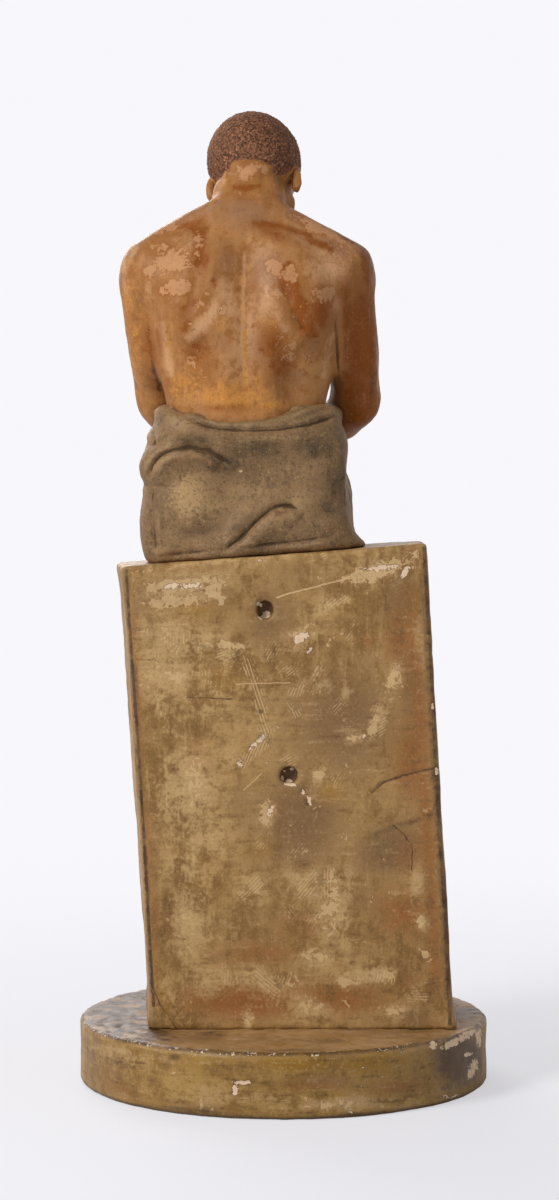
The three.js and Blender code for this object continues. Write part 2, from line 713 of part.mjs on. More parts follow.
// Finishes, as seen on the paint
const paint = {
  skin: new THREE.MeshStandardMaterial({ color: 0xa67548, roughness: 0.48 }),
  cloth: new THREE.MeshStandardMaterial({ color: 0x8b6f55, roughness: 0.7 }),
  stone: new THREE.MeshStandardMaterial({ color: 0xa58459, roughness: 0.62 }),
  plinth: new THREE.MeshStandardMaterial({ color: 0x927040, roughness: 0.55 }),
};

function piece(name, made, material) {
  const mesh = new THREE.Mesh(geometryOf(main(made)), material);
  mesh.name = name;
  return mesh;
}

const man = new THREE.Group();
man.position.set(seat.x, 0, seat.z);
man.add(
  piece("torso", torso, paint.skin),
  piece("head", makeHead(chestAround), paint.skin),
  piece("left_arm", arms.left, paint.skin),
  piece("right_arm", arms.right, paint.skin),
  piece("left_hand", leftHand, paint.skin),
  piece("right_hand", rightHand, paint.skin),
  piece("drapery_hips", drapeHips, paint.cloth),
  piece("drapery_lap", drapeLap, paint.cloth),
  piece("drapery_fall", drapeFall, paint.cloth),
  piece("left_shin", shins[0], paint.skin),
  piece("right_shin", shins[1], paint.skin),
  piece("left_foot", feet[0], paint.skin),
  piece("right_foot", feet[1], paint.skin),
);

const statue = new THREE.Group();
statue.add(
  piece("plinth", makePlinth(), paint.plinth),
  piece("seat_block", makeBlock(), paint.stone),
  piece("foot_rest", makeFootRest(), paint.stone),
  man,
);

export default statue;
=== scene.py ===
import math
import bmesh
import bpy
import numpy as np
from mathutils import Euler, Matrix, Vector, noise
from mathutils.bvhtree import BVHTree


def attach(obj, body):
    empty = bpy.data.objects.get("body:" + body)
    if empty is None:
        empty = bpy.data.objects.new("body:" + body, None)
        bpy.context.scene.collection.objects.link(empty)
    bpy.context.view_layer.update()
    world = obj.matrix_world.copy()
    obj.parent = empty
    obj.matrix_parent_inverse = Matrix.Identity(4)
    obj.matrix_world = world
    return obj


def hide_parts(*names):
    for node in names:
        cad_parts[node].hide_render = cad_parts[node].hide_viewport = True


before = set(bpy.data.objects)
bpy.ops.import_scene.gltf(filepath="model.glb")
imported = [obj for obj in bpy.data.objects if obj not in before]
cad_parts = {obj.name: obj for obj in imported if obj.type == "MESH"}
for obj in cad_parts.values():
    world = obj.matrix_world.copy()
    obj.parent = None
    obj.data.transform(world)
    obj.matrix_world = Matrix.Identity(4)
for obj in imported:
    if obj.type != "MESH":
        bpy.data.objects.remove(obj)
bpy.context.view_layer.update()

# The photograph: 559 x 1200 pixels, taken from behind, level with the man's hips
photo = {
    "distance": 2070,  # millimetres from the camera to the middle of the plinth
    "height": 398,
    "pixel": 0.67,  # millimetres at the middle of the plinth
    "middle": 283.5,  # column and row that the camera looks straight at
    "horizon": 485,
    "width": 559,
    "tall": 1200,
}


def addCamera():
    across = (photo["width"] / 2 - photo["middle"]) * photo["pixel"]
    down = (photo["tall"] / 2 - photo["horizon"]) * photo["pixel"]
    pitch = math.atan(down / photo["distance"])
    yaw = math.atan(across / photo["distance"])
    camera = bpy.data.objects.new("camera", bpy.data.cameras.new("camera"))
    camera.location = (0, photo["distance"] / 1000, photo["height"] / 1000)
    camera.rotation_euler = (math.pi / 2 - pitch, 0, math.pi - yaw)
    camera.data.sensor_width = 36
    camera.data.lens = 36 * photo["distance"] / (photo["tall"] * photo["pixel"])
    bpy.context.scene.collection.objects.link(camera)
    bpy.context.scene.camera = camera


addCamera()
print("camera set")


def smooth(low, high, values):
    t = np.clip((values - low) / (high - low), 0, 1)
    return t * t * (3 - 2 * t)


# How far each place is from a path, and how far along the path that is, from 0 to 1
def alongPath(places, path):
    path = np.array(path, float)
    lengths = np.linalg.norm(np.diff(path, axis=0), axis=1)
    run = np.concatenate([[0], np.cumsum(lengths)])
    best = np.full(len(places), np.inf)
    along = np.zeros(len(places))
    for i, (a, b) in enumerate(zip(path[:-1], path[1:])):
        t = np.clip((places - a) @ (b - a) / lengths[i] ** 2, 0, 1)
        far = np.linalg.norm(places - a - t[:, None] * (b - a), axis=1)
        nearer = far < best
        best[nearer] = far[nearer]
        along[nearer] = (run[i] + t[nearer] * lengths[i]) / run[-1]
    return best, along


def turned(x, y, z):
    return np.array(Euler([math.radians(t) for t in (x, y, z)]).to_matrix())


# A mass tells how far outside it each point is, less than 0 inside
def ball(centre, radii):
    radii = np.broadcast_to(radii, 3)

    def depth(points):
        q = (points - np.array(centre)) / radii
        far = np.linalg.norm(q, axis=1)
        return far * (far - 1) / np.maximum(np.linalg.norm(q / radii, axis=1), 1e-6)

    return depth


def limb(start, end, radius, endRadius):
    a, b = np.array(start, float), np.array(end, float)

    def depth(points):
        t = np.clip((points - a) @ (b - a) / ((b - a) @ (b - a)), 0, 1)
        far = np.linalg.norm(points - a - t[:, None] * (b - a), axis=1)
        return far - radius - (endRadius - radius) * t

    return depth


turnedTo = 0.35  # a surface turned to a side by this much takes its marks in full


# A side is a flat view of the clay: where each point is in it, and whether it faces that way
def photoSide(points, normals):
    size = photo["pixel"] * (photo["distance"] - points[:, 1:2]) / photo["distance"]
    middle = np.array([photo["middle"], photo["horizon"]])
    flat = middle - (points[:, [0, 2]] - [0, photo["height"]]) / size
    return flat, smooth(0, turnedTo, normals[:, 1])


def flatSide(across, up, facing, origin=(0, 0, 0), turn=np.eye(3)):
    facing = np.array(facing, float)

    def side(points, normals):
        local = (points - np.array(origin)) @ turn
        return local[:, [across, up]], smooth(0, turnedTo, normals @ turn @ facing)

    return side


fadedOut = 2.4  # a mark is left off beyond this many of its widths


# Clay is a piece's mesh in millimetres, which is eased, pressed and painted in code
class Clay:
    def __init__(self, piece):
        self.mesh = piece.data
        self.count = len(self.mesh.vertices)
        points = np.empty(self.count * 3)
        self.mesh.vertices.foreach_get("co", points)
        self.points = points.reshape(-1, 3) * 1000
        ends = np.empty(len(self.mesh.edges) * 2, int)
        self.mesh.edges.foreach_get("vertices", ends)
        self.ends = ends.reshape(-1, 2)
        self.neighbours = np.maximum(np.bincount(ends, minlength=self.count), 1)
        self.settle()

    def settle(self):
        self.mesh.vertices.foreach_set("co", (self.points / 1000).ravel())
        self.mesh.update()
        normals = np.empty(self.count * 3)
        self.mesh.vertices.foreach_get("normal", normals)
        self.normals = normals.reshape(-1, 3)

    def mean(self, values):
        a, b = self.ends.T
        flat = values.reshape(self.count, -1)
        sums = [np.bincount(a, v[b], self.count) + np.bincount(b, v[a], self.count) for v in flat.T]
        return (np.stack(sums, 1) / self.neighbours[:, None]).reshape(values.shape)

    def spread(self, values, turns):
        for _ in range(turns):
            values = 0.5 * values + 0.5 * self.mean(values)
        return values

    def ease(self, turns, where=1.0):
        part = np.broadcast_to(where, self.count)[:, None] * 0.5
        for _ in range(turns):
            self.points = self.points + part * (self.mean(self.points) - self.points)
        self.settle()

    # draws the clay back to the solid it was made from
    def snap(self, node, where):
        shape = bmesh.new()
        shape.from_mesh(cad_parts[node].data)
        tree = BVHTree.FromBMesh(shape)
        shape.free()
        for i in np.flatnonzero(where > 0):
            near = tree.find_nearest(Vector(self.points[i] / 1000))[0]
            self.points[i] += where[i] * (np.array(near) * 1000 - self.points[i])
        self.settle()

    def press(self, amount):
        self.points = self.points + amount[:, None] * self.normals
        self.settle()

    def line(self, view, path, depth, width, ends=0.15):
        flat, seen = view
        total = np.zeros(self.count)
        reach = fadedOut * width
        low, high = np.min(path, 0) - reach, np.max(path, 0) + reach
        near = np.flatnonzero((seen > 0) & (flat > low).all(1) & (flat < high).all(1))
        far, along = alongPath(flat[near], path)
        fade = smooth(0, ends, along) * smooth(0, ends, 1 - along)
        total[near] = depth * np.exp(-((far / width) ** 2)) * fade * seen[near]
        return total

    # a place is a column, a row, the spot's width and height and, if it leans, an angle
    def spot(self, view, place, strength, hard=2):
        flat, seen = view
        u, v, width, height, lean = (*place, 0)[:5]
        total = np.zeros(self.count)
        near = np.flatnonzero((seen > 0) & (np.abs(flat - [u, v]) < fadedOut * max(width, height)).all(1))
        c, s = math.cos(math.radians(lean)), math.sin(math.radians(lean))
        across, up = (flat[near] - [u, v]).T
        far = ((across * c + up * s) / width) ** 2 + ((up * c - across * s) / height) ** 2
        total[near] = strength * np.exp(-(far ** (hard / 2))) * seen[near]
        return total

    def draw(self, side, lines=(), spots=()):
        view = side(self.points, self.normals)
        total = np.zeros(self.count)
        for path, depth, width in lines:
            total += self.line(view, path, depth, width)
        for one in spots:
            total += self.spot(view, one[:5], *one[5:])
        self.press(total)

    def grain(self, size, seed, detail=2):
        shift = Vector((seed * 17.3, seed * 5.1, seed * 9.7))
        return np.array([noise.fractal(Vector(p) + shift, 1.0, 2.0, detail) for p in self.points / size])

    def paint(self, name, amount, limited=True):
        layer = self.mesh.attributes.new(name, "FLOAT", "POINT")
        values = np.clip(amount, 0, 1) if limited else amount
        layer.data.foreach_set("value", values.astype(np.float32))

    def marks(self, view, lines, spots, hard):
        total = np.zeros(self.count)
        for path, strength, width in lines:
            total = np.maximum(total, self.line(view, path, strength, width, 0.05))
        for strength, places in spots.items():
            for place in places:
                total = np.maximum(total, self.spot(view, place, strength, hard))
        return total

    def hollows(self, turns, depth):
        gap = self.spread(self.points, turns) - self.points
        return (gap * self.normals).sum(1) / depth


overSeams = 0.4  # millimetres that solids grow all round, to meet across their seams
hardlyGrown = 0.1  # for a solid that stands by itself
mergedWithin = 0.02  # points nearer than this are one
mostTriangles = 196000  # in a piece


# Solids in one mesh, each grown a little
def weld(nodes, grow):
    made = bmesh.new()
    for name in nodes:
        part = bmesh.new()
        part.from_mesh(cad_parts[name].data)
        bmesh.ops.remove_doubles(part, verts=part.verts, dist=mergedWithin / 1000)
        part.normal_update()
        for v in part.verts:
            v.co += v.normal * grow / 1000
        mesh = bpy.data.meshes.new("part")
        part.to_mesh(mesh)
        part.free()
        made.from_mesh(mesh)
        bpy.data.meshes.remove(mesh)
    return made


# Puts a piece's modifiers into its mesh
def bake(piece):
    bpy.context.view_layer.update()
    made = bpy.data.meshes.new_from_object(piece.evaluated_get(bpy.context.evaluated_depsgraph_get()))
    old = piece.data
    piece.modifiers.clear()
    piece.data = made
    bpy.data.meshes.remove(old)
    made.name = piece.name


# With a voxel size, in millimetres, the piece is remeshed into one skin
def place(name, shape, voxel=None):
    mesh = bpy.data.meshes.new(name)
    shape.to_mesh(mesh)
    shape.free()
    piece = bpy.data.objects.new(name, mesh)
    bpy.context.scene.collection.objects.link(piece)
    if voxel:
        remesh = piece.modifiers.new("remesh", "REMESH")
        remesh.mode = "VOXEL"
        remesh.voxel_size = voxel / 1000
        bake(piece)
        keepLargest(piece)
    return piece


# Drops what the remesh leaves loose or closed off inside
def keepLargest(piece):
    shape = bmesh.new()
    shape.from_mesh(piece.data)
    left, best = set(shape.verts), set()
    while left:
        start = left.pop()
        island, todo = {start}, [start]
        while todo:
            for e in todo.pop().link_edges:
                for v in e.verts:
                    if v in left:
                        left.discard(v)
                        island.add(v)
                        todo.append(v)
        if len(island) > len(best):
            best = island
    bmesh.ops.delete(shape, geom=[v for v in shape.verts if v not in best], context="VERTS")
    shape.to_mesh(piece.data)
    shape.free()


def refine(piece, inside):
    shape = bmesh.new()
    shape.from_mesh(piece.data)
    fine = {v for v in shape.verts if inside(v.co * 1000)}
    edges = [e for e in shape.edges if e.verts[0] in fine and e.verts[1] in fine]
    bmesh.ops.subdivide_edges(shape, edges=edges, cuts=1, use_grid_fill=True)
    shape.to_mesh(piece.data)
    shape.free()


def triangles(piece):
    return sum(len(p.vertices) - 2 for p in piece.data.polygons)


def finished(piece, nodes, material):
    before = triangles(piece)
    if before > mostTriangles:
        fewer = piece.modifiers.new("fewer", "DECIMATE")
        fewer.ratio = mostTriangles / before
        bake(piece)
    piece.data.materials.clear()
    piece.data.materials.append(material)
    for polygon in piece.data.polygons:
        polygon.use_smooth = True
    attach(piece, "root")
    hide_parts(*nodes)
    print(piece.name, "has", triangles(piece), "triangles of", before)


# Wire holds one socket of a material, so that masks are written as sums
class Wire:
    def __init__(self, tree, socket=None):
        self.tree, self.socket = tree, socket

    def node(self, kind, settings=None, sockets=None, out=0):
        made = self.tree.nodes.new(kind)
        for key, value in (settings or {}).items():
            setattr(made, key, value)
        for key, value in (sockets or {}).items():
            if isinstance(value, Wire):
                self.tree.links.new(value.socket, made.inputs[key])
            else:
                made.inputs[key].default_value = value
        return Wire(self.tree, made.outputs[out])

    def sum(self, operation, first, second=0.0):
        return self.node("ShaderNodeMath", {"operation": operation}, {0: first, 1: second})

    def __add__(self, other):
        return self.sum("ADD", self, other)

    def __sub__(self, other):
        return self.sum("SUBTRACT", self, other)

    def __rsub__(self, other):
        return self.sum("SUBTRACT", other, self)

    def __mul__(self, other):
        return self.sum("MULTIPLY", self, other)

    __radd__ = __add__
    __rmul__ = __mul__

    def most(self, other):
        return self.sum("MAXIMUM", self, other)

    def least(self, other):
        return self.sum("MINIMUM", self, other)

    def axis(self, where, which):
        return self.node("ShaderNodeSeparateXYZ", None, {0: where}, which)

    def step(self, low, high):
        smoothly = {"interpolation_type": "SMOOTHSTEP"}
        return self.node("ShaderNodeMapRange", smoothly, {0: self, 1: low, 2: high})

    def between(self, first, second):
        return self.node("ShaderNodeMix", {"data_type": "RGBA"}, {0: self, 6: first, 7: second}, 2)

    def painted(self, name):
        return self.node("ShaderNodeAttribute", {"attribute_name": name}, out=2)

    def noise(self, where, size, detail=3.0, rough=0.55, stretch=None, bend=0.0):
        if stretch:
            where = self.node("ShaderNodeMapping", None, {0: where, 3: stretch})
        sockets = {"Vector": where, "Scale": 1000 / size, "Detail": detail, "Roughness": rough}
        return self.node("ShaderNodeTexNoise", None, sockets | {"Distortion": bend})


# A colour as the photograph's levels, made linear
def ink(red, green, blue):
    shades = [c / 255 for c in (red, green, blue)]
    return (*[c / 12.92 if c < 0.04045 else ((c + 0.055) / 1.055) ** 2.4 for c in shades], 1)


# A material, its nodes and its shader
def newMaterial(name):
    material = bpy.data.materials.new(name)
    material.use_nodes = True
    tree = material.node_tree
    return material, tree, tree.nodes["Principled BSDF"]


# Aged paint on clay: soft clouds of colour, worn and bare places, tool marks, dirt in the hollows, and the
# painted highlight and painted shade that some marks carry
def agedPaint(name, look, more=None):
    material, tree, shader = newMaterial(name)
    start = Wire(tree)
    where = start.node("ShaderNodeTexCoord", out=3)
    clouds = start.noise(where, look["cloud"], 5, 0.6, None, 0.3) - 0.5
    mottle = start.noise(where, look["mottle"], 6, 0.66, None, 0.4) - 0.5
    fine = start.noise(where, 2.3, 4, 0.65) - 0.5
    grit = start.noise(where, 0.9, 3, 0.6) - 0.5
    upright = start.noise(where, 5, 4, 0.6, (1, 1, 0.13), 0.25) - 0.5
    level = start.noise(where, 4, 4, 0.6, (0.15, 0.15, 1), 0.25) - 0.5
    lying = (clouds * look["lying"][1] + look["lying"][0]).step(0.1, 0.9)
    brush = upright * (1 - lying) + level * lying
    colour = (clouds + mottle + brush * 0.3).step(-0.22, 0.22).between(look["deep"], look["base"])
    # soft layers of paint; where the pale marks lie on lit ridges they are painted highlight, and where the
    # warm and grey marks lie in grooves and along the shoulders they are painted shade
    for paint, low, high, *shares in look["soft"]:
        amount = start.painted(paint)
        for texture, share in zip((clouds, mottle, fine, brush), shares):
            amount = amount + texture * share
        colour = amount.step(low, high).between(colour, look[paint])
    streaks = [(brush + fine * 0.3, 0.04, 0.24, "strokes"), (fine + grit, 0.02, 0.3, "grain")]
    for texture, low, high, share in streaks:
        colour = (texture.step(low, high) * look[share]).between(colour, look["pale"])
        colour = (texture.step(-low, -high) * look[share]).between(colour, look["dim"])
    # worn patches dry with a darker edge, the tide
    wear = start.painted("worn") + clouds * 0.7 + (mottle * 2.0 + fine * 0.9) * look["broken"]
    tide = wear.step(0.3, 0.47) * wear.step(0.56, 0.5)
    colour = (tide * look["tide"]).between(colour, look["warm"])
    worn = wear.step(0.47, look["wear"])
    colour = (worn * (fine * 1.4 + mottle + 0.7)).between(colour, look["worn"])
    stripes = start.sum("SINE", start.painted("combAt") * math.tau).step(-0.1, 0.6)
    comb = (start.painted("comb") + mottle * 2.2 + fine * 1.6).step(0.3, 0.75) * stripes
    colour = (comb * look["comb"]).between(colour, look["worn"])
    soot = start.painted("grey")
    specks = (grit + fine * 1.3 + mottle * 1.5 + clouds * 0.5 + soot * 0.16).step(0.14, 0.36)
    colour = (specks * (soot * 0.5 + 0.6) * look["specks"]).between(colour, look["dim"])
    flecks = (fine * 1.6 + grit + mottle * 0.6 + start.painted("gold") * 0.16).step(0.33, 0.42)
    colour = (flecks * look["flecks"]).between(colour, look["fleck"])
    if more:
        colour = more(start, where, colour, mottle, fine)
    hollow = start.painted("hollow") + fine * 0.25
    colour = (hollow.step(0.58, 0.9) * 0.8).between(colour, look["dim"])
    colour = ((hollow + mottle).step(0.3, 0.05) * look["rub"]).between(colour, look["worn"])
    # dim marks: dark paint, and painted shade where they lie in creases, fold grooves and on sides turned
    # from the light
    dark = start.painted("dim") + clouds * 0.6 + mottle * 1.0 + brush * 0.8
    colour = (dark.step(0.25, 0.85) * 0.85).between(colour, look["dim"])
    # chips go down to the bare clay, with a dark rim round each
    chip = start.painted("bare") + mottle * 0.9 + fine * 1.3
    colour = (chip.step(0.36, 0.48) * chip.step(0.56, 0.5) * 0.6).between(colour, look["dim"])
    bare = chip.step(0.5, 0.54)
    colour = (bare * (fine * 0.9 + 0.9)).between(colour, look["bare"])
    rough = start.painted("hair") * 0.25 + worn * 0.1 + bare * 0.3 + fine * 0.3 + mottle * 0.2
    rough = rough + hollow.step(0.55, 0.9) * 0.15 + look["rough"]
    height = fine * 0.5 + grit * 0.3 + mottle * 0.6 + brush * 0.8 - comb * 0.25 - bare * 0.5 - worn * 0.15
    relief = {"Height": height, "Distance": look["bump"] / 1000, "Strength": 0.9}
    tree.links.new(colour.socket, shader.inputs["Base Color"])
    tree.links.new(rough.socket, shader.inputs["Roughness"])
    tree.links.new(start.node("ShaderNodeBump", None, relief).socket, shader.inputs["Normal"])
    shader.inputs["Specular IOR Level"].default_value = look["shine"]
    return material


paints = ("pale", "grey", "warm", "gold", "worn", "dim", "bare")


# Marks lie where the photograph shows them, and what it doesn't show is worn by seeded noise
def paintAll(clay, marks, seed):
    view = photoSide(clay.points, clay.normals)
    away = 1 - view[1]
    for i, name in enumerate(paints):
        hard = 3 if name == "bare" else 2
        level = clay.marks(view, marks.get(name + "Lines", ()), marks.get(name, {}), hard)
        if name in marks["away"]:
            size, amount = marks["away"][name]
            level = np.maximum(level, away * amount * smooth(-0.15, 0.55, clay.grain(size, seed + i)))
        clay.paint(name, level)
    comb = np.zeros(clay.count)
    stripes = np.zeros(clay.count)
    for path, strength, width, lean, gap in marks.get("comb", ()):
        here = clay.line(view, path, strength, width, 0.12)
        lean = math.radians(lean)
        best = here > comb
        stripes[best] = (view[0][best] @ [math.cos(lean), math.sin(lean)]) / gap
        comb = np.maximum(comb, here)
    clay.paint("comb", comb)
    clay.paint("combAt", stripes, False)
    low, high = marks.get("clean", (0, 0))
    z = clay.points[:, 2]
    clean = smooth(low - 1, low, z) * smooth(high, high - 4, z)
    clay.paint("hollow", 0.5 + 0.5 * clay.hollows(14, marks["depth"]) * (1 - 0.85 * clean))


# The man's sides are measured from the middle of his seat
manAt = (24, 0, 351.13)
manFront = flatSide(0, 2, (0, -1, 0), manAt)
manTop = flatSide(0, 1, (0, 0, 1), manAt)
manLeft = flatSide(1, 2, (1, 0, 0), manAt)
manRight = flatSide(1, 2, (-1, 0, 0), manAt)

head = {
    "at": (19.2, -27, 612.63),  # the middle of the cranium
    "turn": turned(28, 6.7, -8),
    "foot": 552,  # no part of the face is lower
    "eye": 10.6,
}
face = flatSide(0, 2, (0, -1, 0), head["at"], head["turn"])
earLeft = flatSide(1, 2, (1, 0, 0), head["at"], head["turn"])
earRight = flatSide(1, 2, (-1, 0, 0), head["at"], head["turn"])

hands = {
    "left": {"wrist": (19, -90, 66), "turn": (-12, -4, 143), "thumb": -1},
    "right": {"wrist": (-15, -88, 58), "turn": (-16, 4, 216), "thumb": 1},
    # how far across, where it leaves the palm, length, thickness
    "fingers": [(9.3, 26.5, 24.5, 3.5), (3.1, 28.5, 28, 3.6), (-3.2, 27.5, 26, 3.5), (-9.2, 25, 20.5, 3.1)],
}


def addHand(shape, hand):
    origin = np.array(manAt) + hand["wrist"]
    x, y, z = (math.radians(a) for a in hand["turn"])
    pose = Matrix.Translation(Vector(origin) / 1000) @ Euler((x, y, z), "YXZ").to_matrix().to_4x4()

    def blob(centre, radii):
        size = Matrix.Diagonal((*[r / 1000 for r in radii], 1))
        where = pose @ Matrix.Translation(Vector(centre) / 1000) @ size
        bmesh.ops.create_uvsphere(shape, u_segments=24, v_segments=14, radius=1, matrix=where)

    def rod(points):
        for a, b in zip(points[:-1], points[1:]):
            start, end = Vector(a[:3]) / 1000, Vector(b[:3]) / 1000
            along = (end - start).to_track_quat("Z", "Y").to_matrix().to_4x4()
            where = pose @ Matrix.Translation((start + end) / 2) @ along
            bmesh.ops.create_cone(
                shape, cap_ends=True, segments=20, radius1=a[3] / 1000, radius2=b[3] / 1000,
                depth=(end - start).length, matrix=where,
            )
        for p in points:
            blob(p[:3], [p[3]] * 3)

    # the wrist, the palm and its two edges
    s = hand["thumb"]
    rod([(0, -9, -1, 7.6), (0, 5, -0.5, 7.4)])
    blob((0, 14, -1.6), (11.5, 15, 4.6))
    blob((s * 9, 13, -3), (6.5, 11, 5))
    blob((-s * 8.5, 14, -2.6), (5.5, 12, 4.6))
    # each finger, and the bone that leads to it
    for across, root, length, thick in hands["fingers"]:
        x = s * across
        rod([(x * 0.4, 3, 0.2, 4), (x, root - 3, 0.9, thick + 0.7)])
        rod([
            (x, root - 3, 0.9, thick + 0.5),
            (x * 1.05, root + length * 0.42, 1.6, thick),
            (x * 1.08, root + length * 0.73, -1.2, thick - 0.3),
            (x * 1.09, root + length - 2, -4.6, thick - 0.8),
        ])
    # the thumb
    rod([(s * 9, 7, -3, 5), (s * 15.5, 18, -4.2, 4.4), (s * 17, 28, -5.2, 3.9), (s * 15.6, 35, -6.2, 3.2)])
    hand["origin"], hand["axes"] = origin, np.array(Euler((x, y, z), "YXZ").to_matrix())


# The rows of a drawing, each followed by its mirror image
def mirrored(rows):
    return [(way, *rest) for path, *rest in rows for way in (path, [(-x, z) for x, z in path])]


def sculptFace(clay):
    def mould(mass, way=1):
        for _ in range(3):
            inside = np.maximum(-mass((clay.points - head["at"]) @ head["turn"]), 0)
            clay.press(way * inside)

    eye = head["eye"]
    for s in (-1, 1):
        mould(ball((s * 10.8, -40.5, -11.6), (7.6, 7.5, 5.4)), -1)
        mould(ball((s * eye, -29.3, -12.4), 6.3))
    x, y, z = ((clay.points - head["at"]) @ head["turn"]).T
    near = smooth(-22, -30, y) * smooth(4, -4, z) * (clay.points[:, 2] > head["foot"])
    clay.ease(5, near)
    cheek = smooth(15.5, 18.5, np.abs(x)) * smooth(4, -2, y) * smooth(-50, -40, z)
    clay.ease(170, cheek * (clay.points[:, 2] > head["foot"]) * smooth(2, -6, z))
    for s in (-1, 1):
        lid = ball((s * eye, -29.3, -12.4), 6.95)
        mould(lambda p: np.maximum(lid(p), -14.9 + 0.04 * (np.abs(p[:, 0]) - eye) ** 2 - p[:, 2]))
    mould(limb((0, -35, -8), (0, -39.6, -22.5), 2.6, 3.6))
    mould(ball((0, -39.8, -24.6), (4.1, 3.9, 3.4)))
    for s in (1, -1):
        mould(ball((s * 4.7, -37.2, -25.4), (2.6, 3.6, 2.9)))
    clay.ease(4, near)
    upperLip = [
        (-8.5, -36.6), (-4.5, -34.6), (-1.3, -33.9), (0, -34.5), (1.3, -33.9), (4.5, -34.6), (8.5, -36.6),
    ]
    lines = mirrored([
        # where the lids meet, with the creases above and below
        ([(5.0, -13.4), (7.6, -14.7), (10.6, -15.2), (13.6, -14.6), (16.4, -12.9)], -0.75, 0.55),
        ([(4.8, -10.4), (8, -8.3), (11.5, -7.8), (15, -8.8), (17.5, -11)], -0.75, 0.75),
        ([(6, -17.6), (10.5, -18.8), (15, -17.2)], -0.4, 1.1),
        ([(2.8, -6.2), (7, -3.6), (13, -2.6), (19, -6.5)], 0.55, 1.7),  # brow
        ([(5.2, -22.6), (7.5, -25), (7.2, -28.2), (5.4, -29.4)], -0.8, 0.8),  # wing of the nose
        ([(8, -24.5), (11, -29.5), (12.2, -34.5)], -0.5, 1.5),  # fold from nose to mouth
        ([(1.5, -29.8), (1.7, -33)], 0.25, 0.8),  # ridges above the upper lip
    ]) + [
        ([(0, -29.5), (0, -33)], -0.5, 1.0),  # groove between them
        (upperLip, 1.0, 1.3),
        ([(-7.5, -38), (-3.5, -39.5), (0, -39.9), (3.5, -39.5), (7.5, -38)], 1.2, 1.7),  # lower lip
        ([(-9.4, -37.2), (-5, -36.6), (0, -37.1), (5, -36.6), (9.4, -37.2)], -1.5, 0.65),  # between the lips
        ([(-5.5, -43), (0, -43.8), (5.5, -43)], -0.8, 1.8),  # above the chin
    ] + mirrored([([(-3.5, -1), (-3, -5)], -0.25, 0.9)])  # between the brows
    spots = [(0, -49.5, 5, 4, 0, 0.7), (-9.8, -37.2, 1.4, 1.4, 0, -0.5), (9.8, -37.2, 1.4, 1.4, 0, -0.5)]
    clay.draw(face, lines, spots)
    for s in (-1, 1):
        mould(ball((s * 2.5, -40.6, -29.4), (1.35, 2.1, 1.7)), -1)
    clay.ease(1, near)


def sculptEars(clay):
    rim = [(1.5, -22), (1, -16), (3.2, -10.8), (7.5, -9.8), (9.8, -13.5), (9, -20), (6, -26), (3.8, -27.6)]
    # the rim, the fold inside it, the hollow between them, and the opening
    for side in (earLeft, earRight):
        clay.draw(side, [
            (rim, 0.8, 1.0),
            ([(3.6, -14.5), (6.6, -16.5), (6, -21.5), (4, -23.8)], 0.55, 0.8),
            ([(4.2, -12.6), (8, -13.4), (8, -19), (5.2, -24.5)], -0.7, 0.7),
        ], [(3.2, -19, 1.9, 2.9, 0, -1.5)])


hair = {
    # the hairline in the head's side view: back, and up
    "line": [
        (-37, 13), (-31, 17), (-25, 13), (-17, 4), (-10, -4), (-7, -14), (-1, -16.5), (1.5, -10),
        (6, -8.5), (10, -10), (13, -19), (20, -24), (25, -21.5), (31, -18), (38, -16.5),
    ],
    "foot": 566,  # no hair grows lower
    "curl": 1.9,  # millimetres across
    "height": 0.7,
}


# Curls stand up from the scalp, and tell where the rest of the skin stays smooth
def sculptHair(clay):
    x, y, z = ((clay.points - head["at"]) @ head["turn"]).T
    above = z - np.interp(y, *np.array(hair["line"]).T)
    onHead = np.flatnonzero((clay.points[:, 2] > hair["foot"]) & (above > -4))
    grow = np.zeros(clay.count)
    curls = np.zeros(clay.count)
    for i in onHead:
        p = Vector(clay.points[i])
        grow[i] = above[i] + 1.6 * noise.noise(p / 6)
        curls[i] = abs(noise.fractal(p / hair["curl"], 1, 2, 2))
        curls[i] += 0.6 * noise.noise(p / 6.5 + Vector((9, 0, 0)))
    covered = np.zeros(clay.count)
    covered[onHead] = smooth(-0.8, 0.8, grow[onHead])
    clay.press(covered * (hair["height"] * curls - 0.1))
    tint = np.zeros(clay.count)
    tint[onHead] = smooth(-1.5, 3, grow[onHead])
    clay.paint("hair", tint)
    return covered


